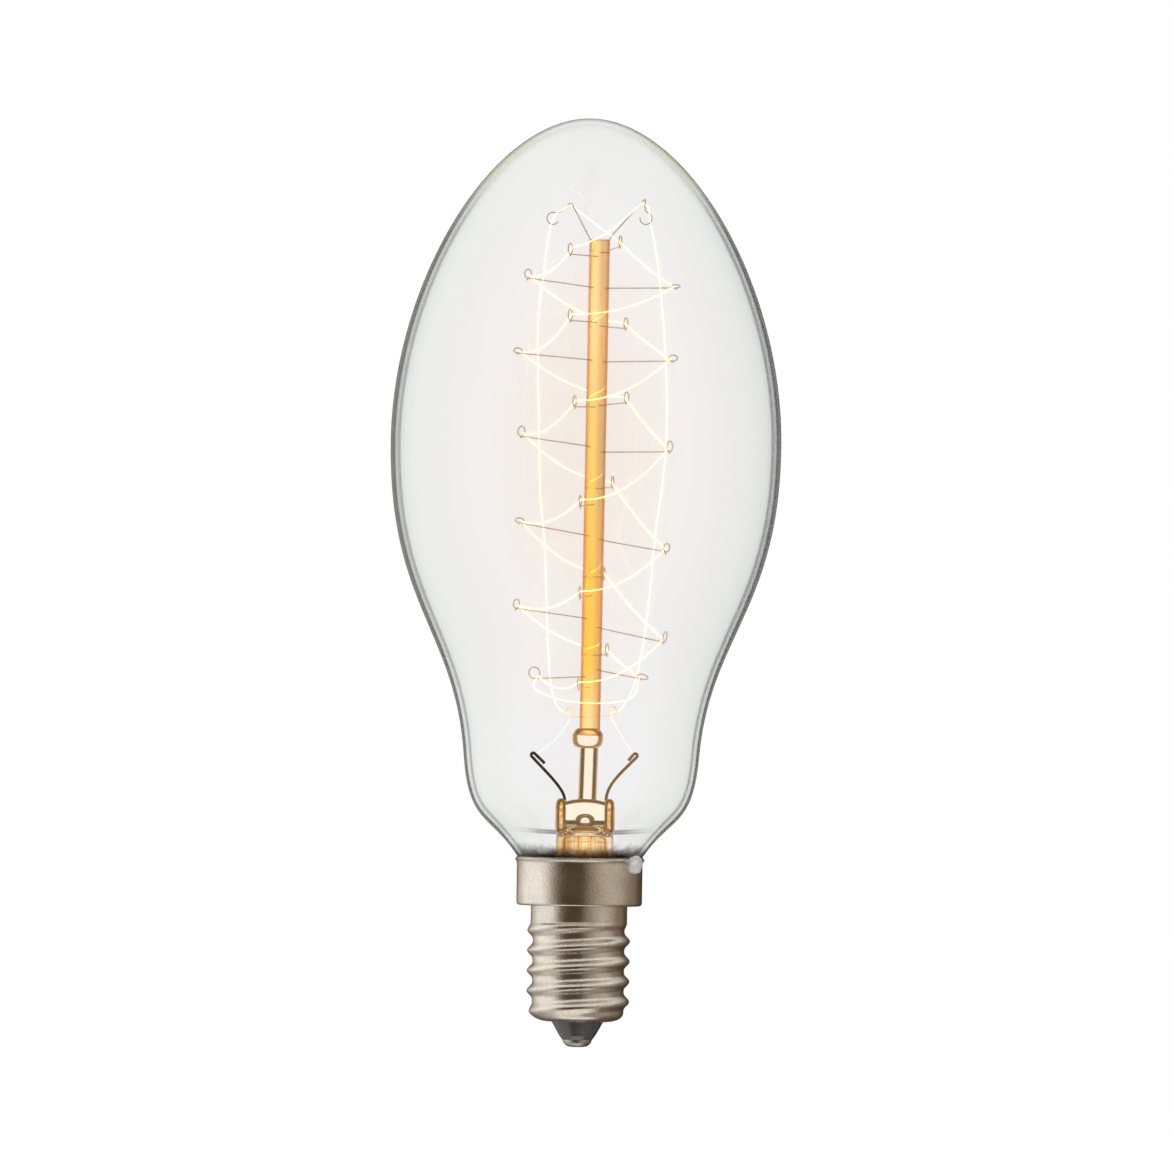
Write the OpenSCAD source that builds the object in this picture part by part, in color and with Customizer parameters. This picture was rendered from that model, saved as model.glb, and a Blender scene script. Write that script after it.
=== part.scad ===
// Decorative filament lamp: an oval clear bulb with a waist above a small Edison screw cap.
// A glass stem carries a cane stuck with wire hooks, and one long filament is wound over them.
// Millimetres. Z runs up the lamp's axis, and the origin is the tip of the centre contact.

/* [Bulb] */
// Height of the whole lamp, from the contact's tip to the crown
lamp_h = 130; // [127:0.5:134]
// Largest radius of the bulb
bulb_r = 27.35; // [25:0.05:29]
// Height of the widest place
equator_z = 84.4; // [80:0.2:88]
// Radius of the waist
waist_r = 16.5; // [14.5:0.1:18]
// Height of the waist
waist_z = 40.9; // [38:0.1:44]
// Outer radius of the neck inside the cap
neck_r = 7.6; // [7:0.05:7.7]
// Thickness of the bulb's glass
glass_t = 0.7; // [0.5:0.05:0.9]

/* [Stem] */
// How far the stem stands off the lamp's axis
stem_shift = 0.65; // [0:0.05:0.9]
// Outer radius of the flare tube
flare_r = 4.05; // [3.6:0.05:4.3]
// Thickness of the flare tube's glass
flare_t = 0.8; // [0.5:0.05:1]
// Width of the flattened press, across the lead wires
press_w = 8.4; // [7.6:0.1:9]
// Thickness of the press
press_t = 2.8; // [2.4:0.1:3.4]
// Radius of the plain cane above the press
cane_r = 1.32; // [1.1:0.02:1.4]
// Radius of the upper cane that holds the hooks
rod_r = 1.45; // [1.3:0.05:1.6]
// Height of the upper cane's top
rod_top_z = 113; // [112:0.2:114]

/* [Wire] */
// Radius of the molybdenum wire of the hooks
hook_wire_r = 0.085; // [0.075:0.005:0.12]
// Radius of the front and back hooks' eyes, to the middle of the wire
eye_r = 0.75; // [0.65:0.01:0.8]
// Radius of the filament's coil
filament_r = 0.12; // [0.1:0.01:0.14]
// Radius of the nickel lead wires
lead_r = 0.22; // [0.18:0.01:0.26]

/* [Screw cap] */
// Outer radius of the thread, over the crests
crest_r = 6.9; // [6.8:0.01:6.95]
// Radius at the bottom of the thread's grooves
root_r = 6.12; // [6.05:0.01:6.2]
// Rise of the thread in one turn
pitch = 2.822; // [2.8:0.001:2.85]
// Outer radius of the plain barrel over the thread
barrel_r = 6.45; // [6.4:0.01:6.5]
// Outer radius of the collar
collar_r = 8.5; // [8.4:0.05:8.6]
// Thickness of the cap's sheet metal
sheet_t = 0.3; // [0.25:0.01:0.3]

/* [Hidden] */
$fn = 72;

// Heights up the cap
shell_foot_z = 3.85;
barrel_foot_z = 17.6;
seat_z = 20.1;
collar_rim_z = 26.5;
// Heights up the stem
neck_foot_z = 21.8;
press_foot_z = 31;
press_top_z = 34.7;
joint_z = 43.6;
// The cane leans a little towards +X on its way up
cane_foot_x = 0.92;
rod_foot_x = 1.12;
rod_top_x = 1.5;
// The lead wires stand this far either side of the press's middle
lead_spread = 2.9;
// The side lead comes over the rim at this bearing
solder_bearing = -33;

GLASS = [0.86, 0.90, 0.90, 0.35];
AMBER = [0.93, 0.62, 0.28, 0.8];
STEEL = [0.36, 0.32, 0.29];
GLOW = [1, 0.75, 0.35];
NICKEL = [0.62, 0.58, 0.52];
COPPER = [0.72, 0.42, 0.25];

// Points on curves
function bezier(a, b, c, d, t) =
    pow(1 - t, 3) * a + 3 * pow(1 - t, 2) * t * b + 3 * (1 - t) * t * t * c + t * t * t * d;
function stretch(a, b, c, d, n) = [for (i = [0:n - 1]) bezier(a, b, c, d, i / n)];
function smooth(t) = let (u = min(1, max(0, t))) u * u * (3 - 2 * u);
function unit(v) = v / norm(v);
// A curve through two points with a given direction and strength at each
function span(p0, d0, p1, d1, n) =
    stretch(p0, p0 + d0 / 3, p1 - d1 / 3, p1, n);

// Directions square to a path, carried along it without a twist
function heading(path, i) =
    unit(path[min(i + 1, len(path) - 1)] - path[max(i - 1, 0)]);
function square_to(v, t) = unit(v - (v * t) * t);
function sides_of(path) = [
    for (
        i = 0, s = square_to([0.31, 0.87, 0.38], heading(path, 0));
        i < len(path);
        i = i + 1, s = square_to(s, heading(path, min(i, len(path) - 1)))
    ) s
];

// A round wire along a path of points
module wire(path, r, sides = 8) {
    across = sides_of(path);
    rings = [
        for (i = [0:len(path) - 1]) let (u = across[i], v = cross(heading(path, i), u))
            for (k = [0:sides - 1]) path[i] + r * (cos(360 * k / sides) * u + sin(360 * k / sides) * v)
    ];
    walls = [
        for (i = [0:len(path) - 2]) for (k = [0:sides - 1])
            let (a = i * sides + k, b = i * sides + (k + 1) % sides)
                each [[a, a + sides, b + sides], [a, b + sides, b]]
    ];
    foot = [for (k = [0:sides - 1]) k];
    head = [for (k = [sides - 1:-1:0]) (len(path) - 1) * sides + k];
    polyhedron(rings, concat([foot, head], walls));
}

// The bulb's outer outline, from the crown down to the neck
crown = [0, lamp_h];
equator = [bulb_r, equator_z];
waist = [waist_r, waist_z];
throat = [8.66, 26.5];
bulb_outline = concat(
    stretch(crown, crown + [13.6, 0], equator + [0, 22.6], equator, 26),
    stretch(equator, equator - [0, 22.9], waist + [1.35, 17.1], waist, 22),
    stretch(waist, waist - [0.8, 10], throat + [4.2, 6.2], throat, 20),
    stretch(throat, throat - [0.8, 1], [neck_r, 25.6], [neck_r, 24.8], 6),
    [[neck_r, 24.8], [neck_r, neck_foot_z]]
);
// The same outline moved in by a thickness, square to itself
function turned_in(outline, i, t) =
    let (
        d = unit(outline[min(i + 1, len(outline) - 1)] - outline[max(i - 1, 0)])
    ) outline[i] + t * [d[1], -d[0]];
function inner_outline(outline, t) = [
    for (i = [0:len(outline) - 1])
        i == 0 ? outline[0] - [0, t] : turned_in(outline, i, t)
];

module glass_bulb() {
    inside = inner_outline(bulb_outline, glass_t);
    color(GLASS) rotate_extrude()
        polygon(concat(bulb_outline, [for (i = [len(inside) - 1:-1:0]) inside[i]]));
}

// The trumpet-ended tube whose rim is fused to the neck
flare_outline = concat(
    stretch([3.0, press_foot_z + 0.1], [3.7, press_foot_z], [flare_r, 30.2], [flare_r, 28.8], 8),
    stretch([flare_r, 28.8], [flare_r, 26], [flare_r + 0.5, 23.4], [neck_r - 1.2, neck_foot_z], 8),
    [[neck_r - 1.2, neck_foot_z], [neck_r - 0.05, neck_foot_z]]
);
module flare_tube() {
    inside = [
        [neck_r - 0.05, neck_foot_z - 0.8],
        each stretch([neck_r - 1.2, neck_foot_z - 0.9], [flare_r - 0.2, 23], [flare_r - flare_t, 25],
            [flare_r - flare_t, 28.4], 8),
        each stretch([flare_r - flare_t, 28.4], [flare_r - flare_t, 29.6], [3.0, 30.2],
            [2.2, 30.2], 5),
        [2.2, 30.2], [2.2, press_foot_z + 0.1]
    ];
    color(AMBER) translate([stem_shift, 0, 0]) rotate_extrude() intersection() {
        polygon(concat(flare_outline, inside));
        // the shifted rim stays within the neck's own foot
        square([neck_r - stem_shift, lamp_h]);
    }
}

// The flattened end of the flare tube: two round lobes over the wires and a thinner web between them
press_edge_r = 0.8;
// A quarter of a circle, for an outline's rounded corner
function corner(middle, r, from) = [for (a = [from:15:from + 90]) middle + r * [cos(a), sin(a)]];
module press_lobe(lobe_r) {
    in = lobe_r - press_edge_r;
    rotate_extrude() polygon(concat(
        [[0, press_foot_z + 0.1]],
        corner([in, press_foot_z + 0.1 + press_edge_r], press_edge_r, -90),
        corner([in, press_top_z - press_edge_r], press_edge_r, 0),
        [[0, press_top_z]]
    ));
}
module press_web(web_t, long) {
    in = web_t / 2 - press_edge_r;
    low = press_foot_z + 0.1 + press_edge_r;
    high = press_top_z - press_edge_r;
    rotate([90, 0, 90]) linear_extrude(long) polygon(concat(
        corner([in, low], press_edge_r, -90), corner([in, high], press_edge_r, 0),
        corner([-in, high], press_edge_r, 90), corner([-in, low], press_edge_r, 180)
    ));
}
module stem_press() {
    lobe_r = press_t / 2;
    mid_x = stem_shift;
    color(AMBER) difference() {
        union() {
            translate([mid_x - press_w / 2 + lobe_r, 0, 0]) press_web(press_t - 0.4, press_w - press_t);
            for (side = [-1, 1]) translate([mid_x + side * (press_w / 2 - lobe_r), 0, 0])
                press_lobe(lobe_r);
        }
        for (side = [-1, 1]) translate([mid_x + side * lead_spread, 0, press_foot_z])
            cylinder(r = lead_r, h = 5);
        // the way from the bulb into the exhaust tube, which opens at the front
        translate([mid_x, 0, press_foot_z]) cylinder(r = 0.75, h = 1.1);
        translate([mid_x, 0, press_foot_z + 0.75]) rotate([90, 0, 0]) cylinder(r = 0.45, h = 3);
    }
}

// The tube that the air was drawn through, sealed off at its foot
module exhaust_tube() {
    tube_r = 1.5;
    tip_z = 9;
    color(GLASS) translate([stem_shift, 0, 0]) rotate_extrude() polygon([
        [0, tip_z], [0.45, tip_z + 0.1], [0.8, tip_z + 1], [tube_r, tip_z + 3.2],
        [tube_r, press_foot_z + 0.1], [0.85, press_foot_z + 0.1], [0.85, tip_z + 3.4],
        [0.3, tip_z + 1.8], [0, tip_z + 1.5]
    ]);
}

// A point up the upper cane, which leans
function rod_x(z) = rod_foot_x + (rod_top_x - rod_foot_x) * (z - joint_z) / (rod_top_z - joint_z);

// Stands a piece on the axis of a cane between two heights
module along(x0, z0, x1, z1) {
    translate([x0, 0, z0]) rotate([0, atan2(x1 - x0, z1 - z0), 0]) children();
}

module lower_cane() {
    along(cane_foot_x, press_top_z, rod_foot_x, joint_z) cylinder(r = cane_r, h = 8);
}
module upper_cane() {
    along(rod_x(joint_z), joint_z, rod_top_x, rod_top_z) cylinder(r = rod_r, h = rod_top_z - joint_z);
}
module stem_cane() { color(AMBER) lower_cane(); }

// The bead where the two canes were melted together, fuller on its left
bead_foot_z = 41.9;
bead_top_z = 44.7;
bead_r = 2.2;
bead_x = 0.85;
module cane_joint() {
    color(AMBER) difference() {
        translate([bead_x, 0, 0]) rotate_extrude() polygon(concat(
            [[0, bead_foot_z], [cane_r - 0.1, bead_foot_z]],
            stretch([cane_r, bead_foot_z], [bead_r - 0.3, bead_foot_z + 0.1],
                [bead_r, bead_foot_z + 0.6], [bead_r, joint_z - 0.2], 8),
            stretch([bead_r, joint_z - 0.2], [bead_r, joint_z + 0.5],
                [rod_r + 0.35, bead_top_z - 0.2], [rod_r - 0.2, bead_top_z], 8),
            [[0, bead_top_z]]
        ));
        upper_cane();
        lower_cane();
    }
}

// Hooks in four rows up the upper cane. Each list runs from the top hook down.
// The heights where the wires leave the cane
left_z = [106.2, 96.1, 84.0, 71.5, 60.0, 52.0];
right_z = [106.2, 95.9, 83.3, 71.2, 59.0, 53.1];
front_z = [110.6, 101.4, 89.6, 76.0, 63.3, 50.5];
back_z = [111.1, 100.9, 89.8, 78.2, 65.9, 55.0];
// How much each wire rises on its way out
left_rise = [1.3, 0.9, 1.4, 1.8, 1.4, -0.4];
right_rise = [0.2, 0.3, 0.2, -1.7, -2.1, -1.4];
front_rise = [0.1, 0.1, -0.1, -0.3, -0.3, -0.2];
back_rise = [1.2, -0.1, 0.6, 0.3, -0.2, 0.1];
// How far each eye stands from the cane's axis
left_reach = [10.1, 11.2, 10.6, 10.6, 10.8, 7.9];
right_reach = [10.8, 10.6, 10.4, 10.3, 10.3, 7.3];
front_reach = [10.4, 10.4, 10.4, 10.3, 10.2, 8.2];
back_reach = [10.2, 10.5, 10.5, 10.4, 10.2, 7.6];
// Bearings of the wires, from +X anticlockwise
left_bearing = [180, 180, 180, 180, 180, 180];
right_bearing = [0, 0, 0, 0, 0, 0];
front_bearing = [-113, -112, -107, -101, -100, -102];
back_bearing = [73, 68, 66, 76, 81, 73];
// How far each eye is bent over sideways, and then turned about the upright
left_lean = [0, 50, 0, 57, 0, 0];
right_lean = [67, 50, 0, 0, 0, 63];
left_turn = [44, 0, 46, 0, 49, 20];
right_turn = [0, 0, 57, 45, 69, 0];
straight = [0, 0, 0, 0, 0, 0];
// The size of each eye, as a share of the front and back ones
left_size = [0.83, 0.75, 0.92, 0.83, 0.83, 1.07];
right_size = [0.77, 0.83, 1, 0.77, 1, 1];
alike = [1, 1, 1, 1, 1, 1];

// Where a row's wire i starts on the cane's axis, and the frame that its wire runs in
module hook_frame(z, rise, reach, bearing) {
    translate([rod_x(z), 0, z]) rotate([0, 0, bearing]) rotate([0, -atan2(rise, reach), 0]) children();
}
// The piece of one hook: a straight wire, an open eye and a short tail
module hook(reach, lean, turn, eye) {
    stick_in = 0.5;
    open_at = 315;
    translate([stick_in, 0, 0]) rotate([0, 90, 0]) cylinder(r = hook_wire_r, h = reach - stick_in);
    translate([reach, 0, 0]) rotate([lean, 0, turn]) translate([0, 0, eye]) rotate([90, 0, 0]) {
        rotate([0, 0, -90]) rotate_extrude(angle = open_at) translate([eye, 0]) circle(hook_wire_r);
        rotate([0, 0, open_at - 90]) translate([eye, 0, 0]) rotate([-90, 0, 0])
            cylinder(r = hook_wire_r, h = 0.7);
    }
}
module hook_row(z, rise, reach, bearing, lean, turn, size) {
    color(STEEL) for (i = [0:len(z) - 1])
        hook_frame(z[i], rise[i], reach[i], bearing[i]) hook(reach[i], lean[i], turn[i], eye_r * size[i]);
}
module hook_sockets(z, rise, reach, bearing) {
    for (i = [0:len(z) - 1]) hook_frame(z[i], rise[i], reach[i], bearing[i])
        translate([0.5, 0, 0]) rotate([0, 90, 0]) cylinder(r = hook_wire_r, h = 3);
}
// Where the filament lies in hook i's eye: against the side towards the cane, or some way under that
function eye_point(z, rise, reach, bearing, lean, turn, size, under, i) =
    let (
        slope = atan2(rise[i], reach[i]),
        eye = eye_r * size[i],
        rest = eye - hook_wire_r - filament_r,
        back = rest * cos(under),
        height = eye - rest * sin(under),
        up = height * cos(lean[i]),
        over = height * sin(lean[i]),
        out = reach[i] - back * cos(turn[i]) + over * sin(turn[i]),
        aside = -back * sin(turn[i]) - over * cos(turn[i]),
        along_r = out * cos(slope) - up * sin(slope),
        b = bearing[i]
    ) [
        rod_x(z[i]) + along_r * cos(b) - aside * sin(b),
        along_r * sin(b) + aside * cos(b),
        z[i] + out * sin(slope) + up * cos(slope)
    ];

// Short hooks at the cane's foot that turn the filament's two ends towards the leads
guide_z = [46.2, 46.4];
guide_reach = [2.9, 3.2];
guide_rise = [0.2, 0.2];
guide_bearing = [190, -8];
guide_eye_r = 0.6;

module hook_cane() {
    color(AMBER) difference() {
        upper_cane();
        hook_sockets(left_z, left_rise, left_reach, left_bearing);
        hook_sockets(right_z, right_rise, right_reach, right_bearing);
        hook_sockets(front_z, front_rise, front_reach, front_bearing);
        hook_sockets(back_z, back_rise, back_reach, back_bearing);
        hook_sockets(guide_z, guide_rise, guide_reach, guide_bearing);
        for (side = [-1, 1]) translate([rod_top_x + side * crown_root, 0, rod_top_z - 2.2])
            cylinder(r = hook_wire_r, h = 3);
    }
}
module left_hooks() {
    hook_row(left_z, left_rise, left_reach, left_bearing, left_lean, left_turn, left_size);
}
module right_hooks() {
    hook_row(right_z, right_rise, right_reach, right_bearing, right_lean, right_turn, right_size);
}
module front_hooks() {
    hook_row(front_z, front_rise, front_reach, front_bearing, straight, straight, alike);
}
module back_hooks() {
    hook_row(back_z, back_rise, back_reach, back_bearing, straight, straight, alike);
}
module guide_hooks() {
    color(STEEL) for (i = [0, 1])
        hook_frame(guide_z[i], guide_rise[i], guide_reach[i], guide_bearing[i])
            hook(guide_reach[i], 0, 0, guide_eye_r);
}

// Two wires that rise from the cane's top and curl over into eyes
crown_root = 1.24;
crown_eye_r = 0.85;
crown_peak_left = [-2.5, 1.0, 118.0];
crown_peak_right = [7.6, -1.0, 118.6];
crown_eye_left = [-5.1, 1.4, 115.9];
crown_eye_right = [7.9, -1.4, 116.0];
// A curl round an eye's middle, from one angle to another in the X-Z plane
function curl(middle, r, from, to, n) =
    [for (i = [0:n]) let (a = from + (to - from) * i / n) middle + r * [cos(a), 0, sin(a)]];
function crown_path(side, peak, middle, from, to) =
    let (
        root = [rod_top_x + side * crown_root, 0, rod_top_z],
        arc = curl(middle, crown_eye_r, from, to, 12)
    )
        concat(
            [root - [0, 0, 2.2], root - [0, 0, 0.3]],
            span(root + [side * 0.3, 0, 0.4], 0.9 * (peak - root), peak, 0.3 * (peak - root), 5),
            span(peak, 0.3 * (peak - root), arc[0], 2.2 * unit(arc[1] - arc[0]), 5),
            arc
        );
module crown_hooks() {
    color(STEEL) {
        wire(crown_path(-1, crown_peak_left, crown_eye_left, 60, 330), hook_wire_r, 6);
        wire(crown_path(1, crown_peak_right, crown_eye_right, 80, -190), hook_wire_r, 6);
    }
}

// The filament: up one side, down the cage as one helix, back up as another, and down the far side
// A strand hangs between two hooks, straight as seen from above, and sags by a share of its drop
function hang(p0, p1, share, n) =
    let (sag = share * max(4, p0[2] - p1[2]))
        [for (i = [0:n - 1]) let (t = smooth_ends(i / n)) p0 + (p1 - p0) * t - [0, 0, 4 * sag * t * (1 - t)]];
// Steps that are shorter near both hooks, where the strand turns
function smooth_ends(t) = t + 0.6 * t * (1 - t) * (2 * t - 1);
// The hook that a helix passes at step i, counting down the cage in quarter turns
function row_eye(row, i) =
    row == 0 ? eye_point(left_z, left_rise, left_reach, left_bearing, left_lean, left_turn, left_size, 35, i)
    : row == 1 ? eye_point(back_z, back_rise, back_reach, back_bearing, straight, straight, alike, 0, i)
    : row == 2 ? eye_point(right_z, right_rise, right_reach, right_bearing, right_lean, right_turn,
        right_size, 35, i)
    : eye_point(front_z, front_rise, front_reach, front_bearing, straight, straight, alike, -15, i);
span_steps = 8;
// How much the strands sag on their way from the left, back, right and front rows; a quarter is level
// at the lower hook
row_sag = [0.24, 0.06, 0.27, 0.33];
// Turns of a helix whose first hook is in the row given; the front and back rows sit above the sides
function helix(first_row, steps) = [
    for (k = [0:steps - 2])
        let (
            a = (first_row + k) % 4, b = (first_row + k + 1) % 4,
            i = floor(k / 2), j = floor((k + 1) / 2)
        ) each hang(row_eye(a, i), row_eye(b, j), row_sag[a], span_steps),
    row_eye((first_row + steps - 1) % 4, floor((steps - 1) / 2))
];
cage_rows = 12;
first_turns = helix(1, cage_rows);
second_turns = helix(3, cage_rows);
function reversed(list) = [for (i = [len(list) - 1:-1:0]) list[i]];
// A loose strand bends through the points given; each is met with the heading of its neighbours
function strand(points, n) = [
    for (i = [0:len(points) - 2])
        let (
            before = points[max(i - 1, 0)], after = points[min(i + 2, len(points) - 1)],
            d0 = (points[i + 1] - before) / (i == 0 ? 1 : 2),
            d1 = (after - points[i]) / (i == len(points) - 2 ? 1 : 2)
        ) each span(points[i], d0, points[i + 1], d1, n),
    points[len(points) - 1]
];
left_return = [
    [-6.55, 0, 40.75], [-3.6, 0.2, 43.1], [-1.75, -0.35, 46.2], [-3.3, 1.4, 47.5], [-4.3, 3, 50],
    [-5.0, 4, 57], [-5.6, 4.3, 70], [-6.3, 4.3, 77], [-6.7, 4.2, 88], [-7.0, 3.8, 101.4],
    [-6.3, 2.8, 108], [-5.3, 1.4, 115.4], [-3.2, 1.1, 117.6]
];
right_return = [
    [8.3, -1.3, 117.6], [8.5, -1.3, 115.6], [9.2, 0.8, 112.5], [10.0, 2.8, 107.5], [11.0, 3.2, 96.4],
    [11.3, 3.3, 86], [10.8, 3.3, 79], [9.9, 3.4, 72], [9.1, 3.6, 62], [7.6, 3.2, 52],
    [5.6, 1.4, 47.6], [4.05, -0.5, 46.7], [5.5, -0.2, 43.8], [7.2, 0, 41.15]
];
bottom_link = [
    last(first_turns), [-6.6, -2.4, 50.2], [-2.6, -4.6, 48.6], [3.2, -4.6, 48.3],
    [7.0, -2.6, 49.2], last(second_turns)
];
function last(list) = list[len(list) - 1];
filament_path = concat(
    strand(left_return, 4),
    strand([[-2.6, 1.1, 117.8], [1.2, 3.8, 115], first_turns[0] - [1, -0.2, -0.7]], 4),
    first_turns,
    [for (i = [1:4 * 5 - 1]) strand(bottom_link, 4)[i]],
    reversed(second_turns),
    strand([second_turns[0] + [2, -0.3, 0.6], [3.0, -4.9, 114.2], [7.4, -1.1, 118.2]], 4),
    strand(right_return, 4)
);
module filament() {
    color(GLOW) wire(filament_path, filament_r, 6);
}

// A lead wire that leans out of the press; its end is folded back over the filament's end
function lead_path(side, tip, tail, rise) =
    let (root = [stem_shift + side * lead_spread, 0, press_top_z], fold_r = 0.3)
        concat(
            [root - [0, 0, 0.9]],
            stretch(root, root + [side * 0.15, 0, rise], tip - [side * 2, 0, 2.1], tip, 9),
            curl(tip + [-side * 0.21, 0, 0.21], fold_r, side > 0 ? -40 : 220, side > 0 ? 130 : 50, 6),
            [tail]
        );
// The left wire leans over sooner than the right one
module inner_lead_left() {
    color(NICKEL) wire(lead_path(-1, [-6.95, 0, 40.6], [-5.1, 0, 39.65], 1.5), lead_r);
}
module inner_lead_right() {
    color(NICKEL) wire(lead_path(1, [7.75, 0, 40.7], [6.6, 0, 40.2], 2.3), lead_r);
}

// The copper-clad wires that the press is melted round
module seal_wire(side) {
    color(COPPER) translate([stem_shift + side * lead_spread, 0, press_foot_z - 0.9])
        cylinder(r = lead_r - 0.02, h = press_top_z - press_foot_z);
}
module seal_wire_left() { seal_wire(-1); }
module seal_wire_right() { seal_wire(1); }

// The copper wire down to the centre contact
centre_lead_r = 0.18;
module centre_lead() {
    color(COPPER) wire(strand([
        [stem_shift - lead_spread, 0, press_foot_z - 0.9], [stem_shift - lead_spread, 0, 27],
        [-2.6, -0.4, 18], [-1.6, -1.0, 12], [-0.3, -0.4, 8], [0, 0, 5.5], [0, 0, 0.75]
    ], 4), centre_lead_r, 6);
}
// The copper wire that turns up between neck and collar and over the rim
module side_lead() {
    out = [cos(solder_bearing), sin(solder_bearing), 0];
    gap_r = neck_r + 0.3;
    color(COPPER) wire(strand([
        [stem_shift + lead_spread, 0, press_foot_z - 0.9], [stem_shift + lead_spread, 0, 27],
        [3.3, -0.8, 22.4], 5.6 * out + [0, 0, 20.1 + 0.55],
        (gap_r - 0.2) * out + [0, 0, 20.75], gap_r * out + [0, 0, 21.6],
        gap_r * out + [0, 0, 24.2], (gap_r + 0.05) * out + [0, 0, 25.3], 8.72 * out + [0, 0, 26.3],
        9.0 * out + [0, 0, 26.75]
    ], 4), 0.14, 6);
}

// Cement between the neck and the collar, with a groove for the side lead
module basing_cement() {
    cement_r = collar_r - sheet_t;
    color("tan") difference() {
        rotate_extrude() polygon([
            [neck_r, neck_foot_z], [cement_r, neck_foot_z - 0.3], [cement_r, 25.6],
            [neck_r + 0.4, 25.25], [neck_r + 0.02, 24.8]
        ]);
        rotate([0, 0, solder_bearing]) translate([neck_r + 0.3, 0, 20]) cylinder(r = 0.24, h = 6);
    }
}

// Rolled thread: crests climb anticlockwise, fade out under the barrel and at the foot
crest_z = 9.23;
function crest_height(turn, z) = crest_z + pitch * (turn + round((z - crest_z) / pitch - turn));
function plain_r(z) = root_r + (barrel_r - 0.05 - root_r) * smooth((z - 16.4) / 1);
function thread_r(turn, z) =
    let (
        h = crest_height(turn, z),
        wave = pow(0.5 + 0.5 * cos(360 * (z - h) / pitch), 1.5),
        fade = min(1, max(0, (17.75 - h) / 1.2)) * min(1, max(0, (h - 4.1) / 1.7))
    ) plain_r(z) + (crest_r - plain_r(z)) * wave * fade * smooth((barrel_foot_z - z) / 0.5);
thread_foot_z = 4.85;
rows = 10;
outer_rows = floor((barrel_foot_z + 0.4 - thread_foot_z) / pitch * rows);
inner_rows = floor(outer_rows / 2);
function row_z(i, n) = thread_foot_z + (barrel_foot_z + 0.4 - thread_foot_z) * i / n;
// The cut through the shell's wall at one bearing, from the foot's lip round and back to it
function shell_cut(turn) = concat(
    [
        [3.95, shell_foot_z], [4.9, shell_foot_z + 0.03], [5.45, shell_foot_z + 0.2],
        [5.85, shell_foot_z + 0.55]
    ],
    [for (i = [0:outer_rows]) let (z = row_z(i, outer_rows)) [thread_r(turn, z), z]],
    [for (i = [inner_rows:-1:0]) let (z = row_z(i, inner_rows)) [thread_r(turn, z) - sheet_t + 0.08, z]],
    [
        [5.5, shell_foot_z + 0.75], [5.1, shell_foot_z + 0.42], [4.7, shell_foot_z + 0.32],
        [3.95, shell_foot_z + 0.3]
    ]
);
thread_sides = 32;
module threaded_shell() {
    cuts = [for (k = [0:thread_sides - 1]) shell_cut(k / thread_sides)];
    m = len(cuts[0]);
    points = [
        for (k = [0:thread_sides - 1]) let (a = 360 * k / thread_sides)
            for (p = cuts[k]) [p[0] * cos(a), p[0] * sin(a), p[1]]
    ];
    faces = [
        for (k = [0:thread_sides - 1]) for (j = [0:m - 1])
            let (
                a = k * m + j, b = k * m + (j + 1) % m,
                c = ((k + 1) % thread_sides) * m + (j + 1) % m, d = ((k + 1) % thread_sides) * m + j
            ) each [[a, b, c], [a, c, d]]
    ];
    polyhedron(points, faces);
}
module screw_shell() {
    inner = barrel_r - sheet_t;
    wall_r = collar_r - sheet_t;
    color("gray") union() {
        threaded_shell();
        rotate_extrude() polygon([
            [inner, barrel_foot_z], [barrel_r, barrel_foot_z], [barrel_r, seat_z],
            [collar_r - 0.3, seat_z], [collar_r - 0.08, seat_z + 0.08], [collar_r, seat_z + 0.3],
            [collar_r, 25.75], [collar_r + 0.12, 26.15], [collar_r + 0.45, collar_rim_z],
            [collar_r + 0.3, collar_rim_z + 0.12], [collar_r - 0.02, 26.2], [wall_r, 25.75],
            [wall_r, seat_z + sheet_t], [inner, seat_z + sheet_t]
        ]);
    }
}

// Black glass moulded into the shell's foot
module insulator() {
    color([0.1, 0.09, 0.09]) difference() {
        rotate_extrude() polygon([
            [0.6, 1.0], [2.08, 1.0], [2.5, 1.55], [3.1, 2.6], [3.8, shell_foot_z],
            [3.9, shell_foot_z + 0.1], [3.9, shell_foot_z + 0.35], [4.75, shell_foot_z + 0.4],
            [5.4, 4.75], [5.68, 5.3], [5.68, 7], [0.9, 7], [0.6, 6.5]
        ]);
        translate([0, 0, 0.9]) cylinder(r = 1.95, h = 0.45);
    }
}
module centre_eyelet() {
    color("goldenrod") difference() {
        union() {
            translate([0, 0, 1.0]) cylinder(r = 1.95, h = 0.35);
            translate([0, 0, 1.2]) cylinder(r = 0.6, h = 1.4);
        }
        translate([0, 0, 0.5]) cylinder(r = 0.32, h = 3);
    }
}
// The solder dome, worn flat where it meets the holder's spring
module centre_solder() {
    flat_r = 0.8;
    color("silver") difference() {
        rotate_extrude() polygon(concat(
            [[0, 0], [flat_r, 0]],
            stretch([flat_r, 0], [1.5, 0.02], [2.0, 0.45], [2.06, 1.0], 8),
            [[2.06, 1.0], [0, 1.0]]
        ));
        translate([0, 0, 0.72]) cylinder(r = centre_lead_r, h = 1);
    }
}
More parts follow.
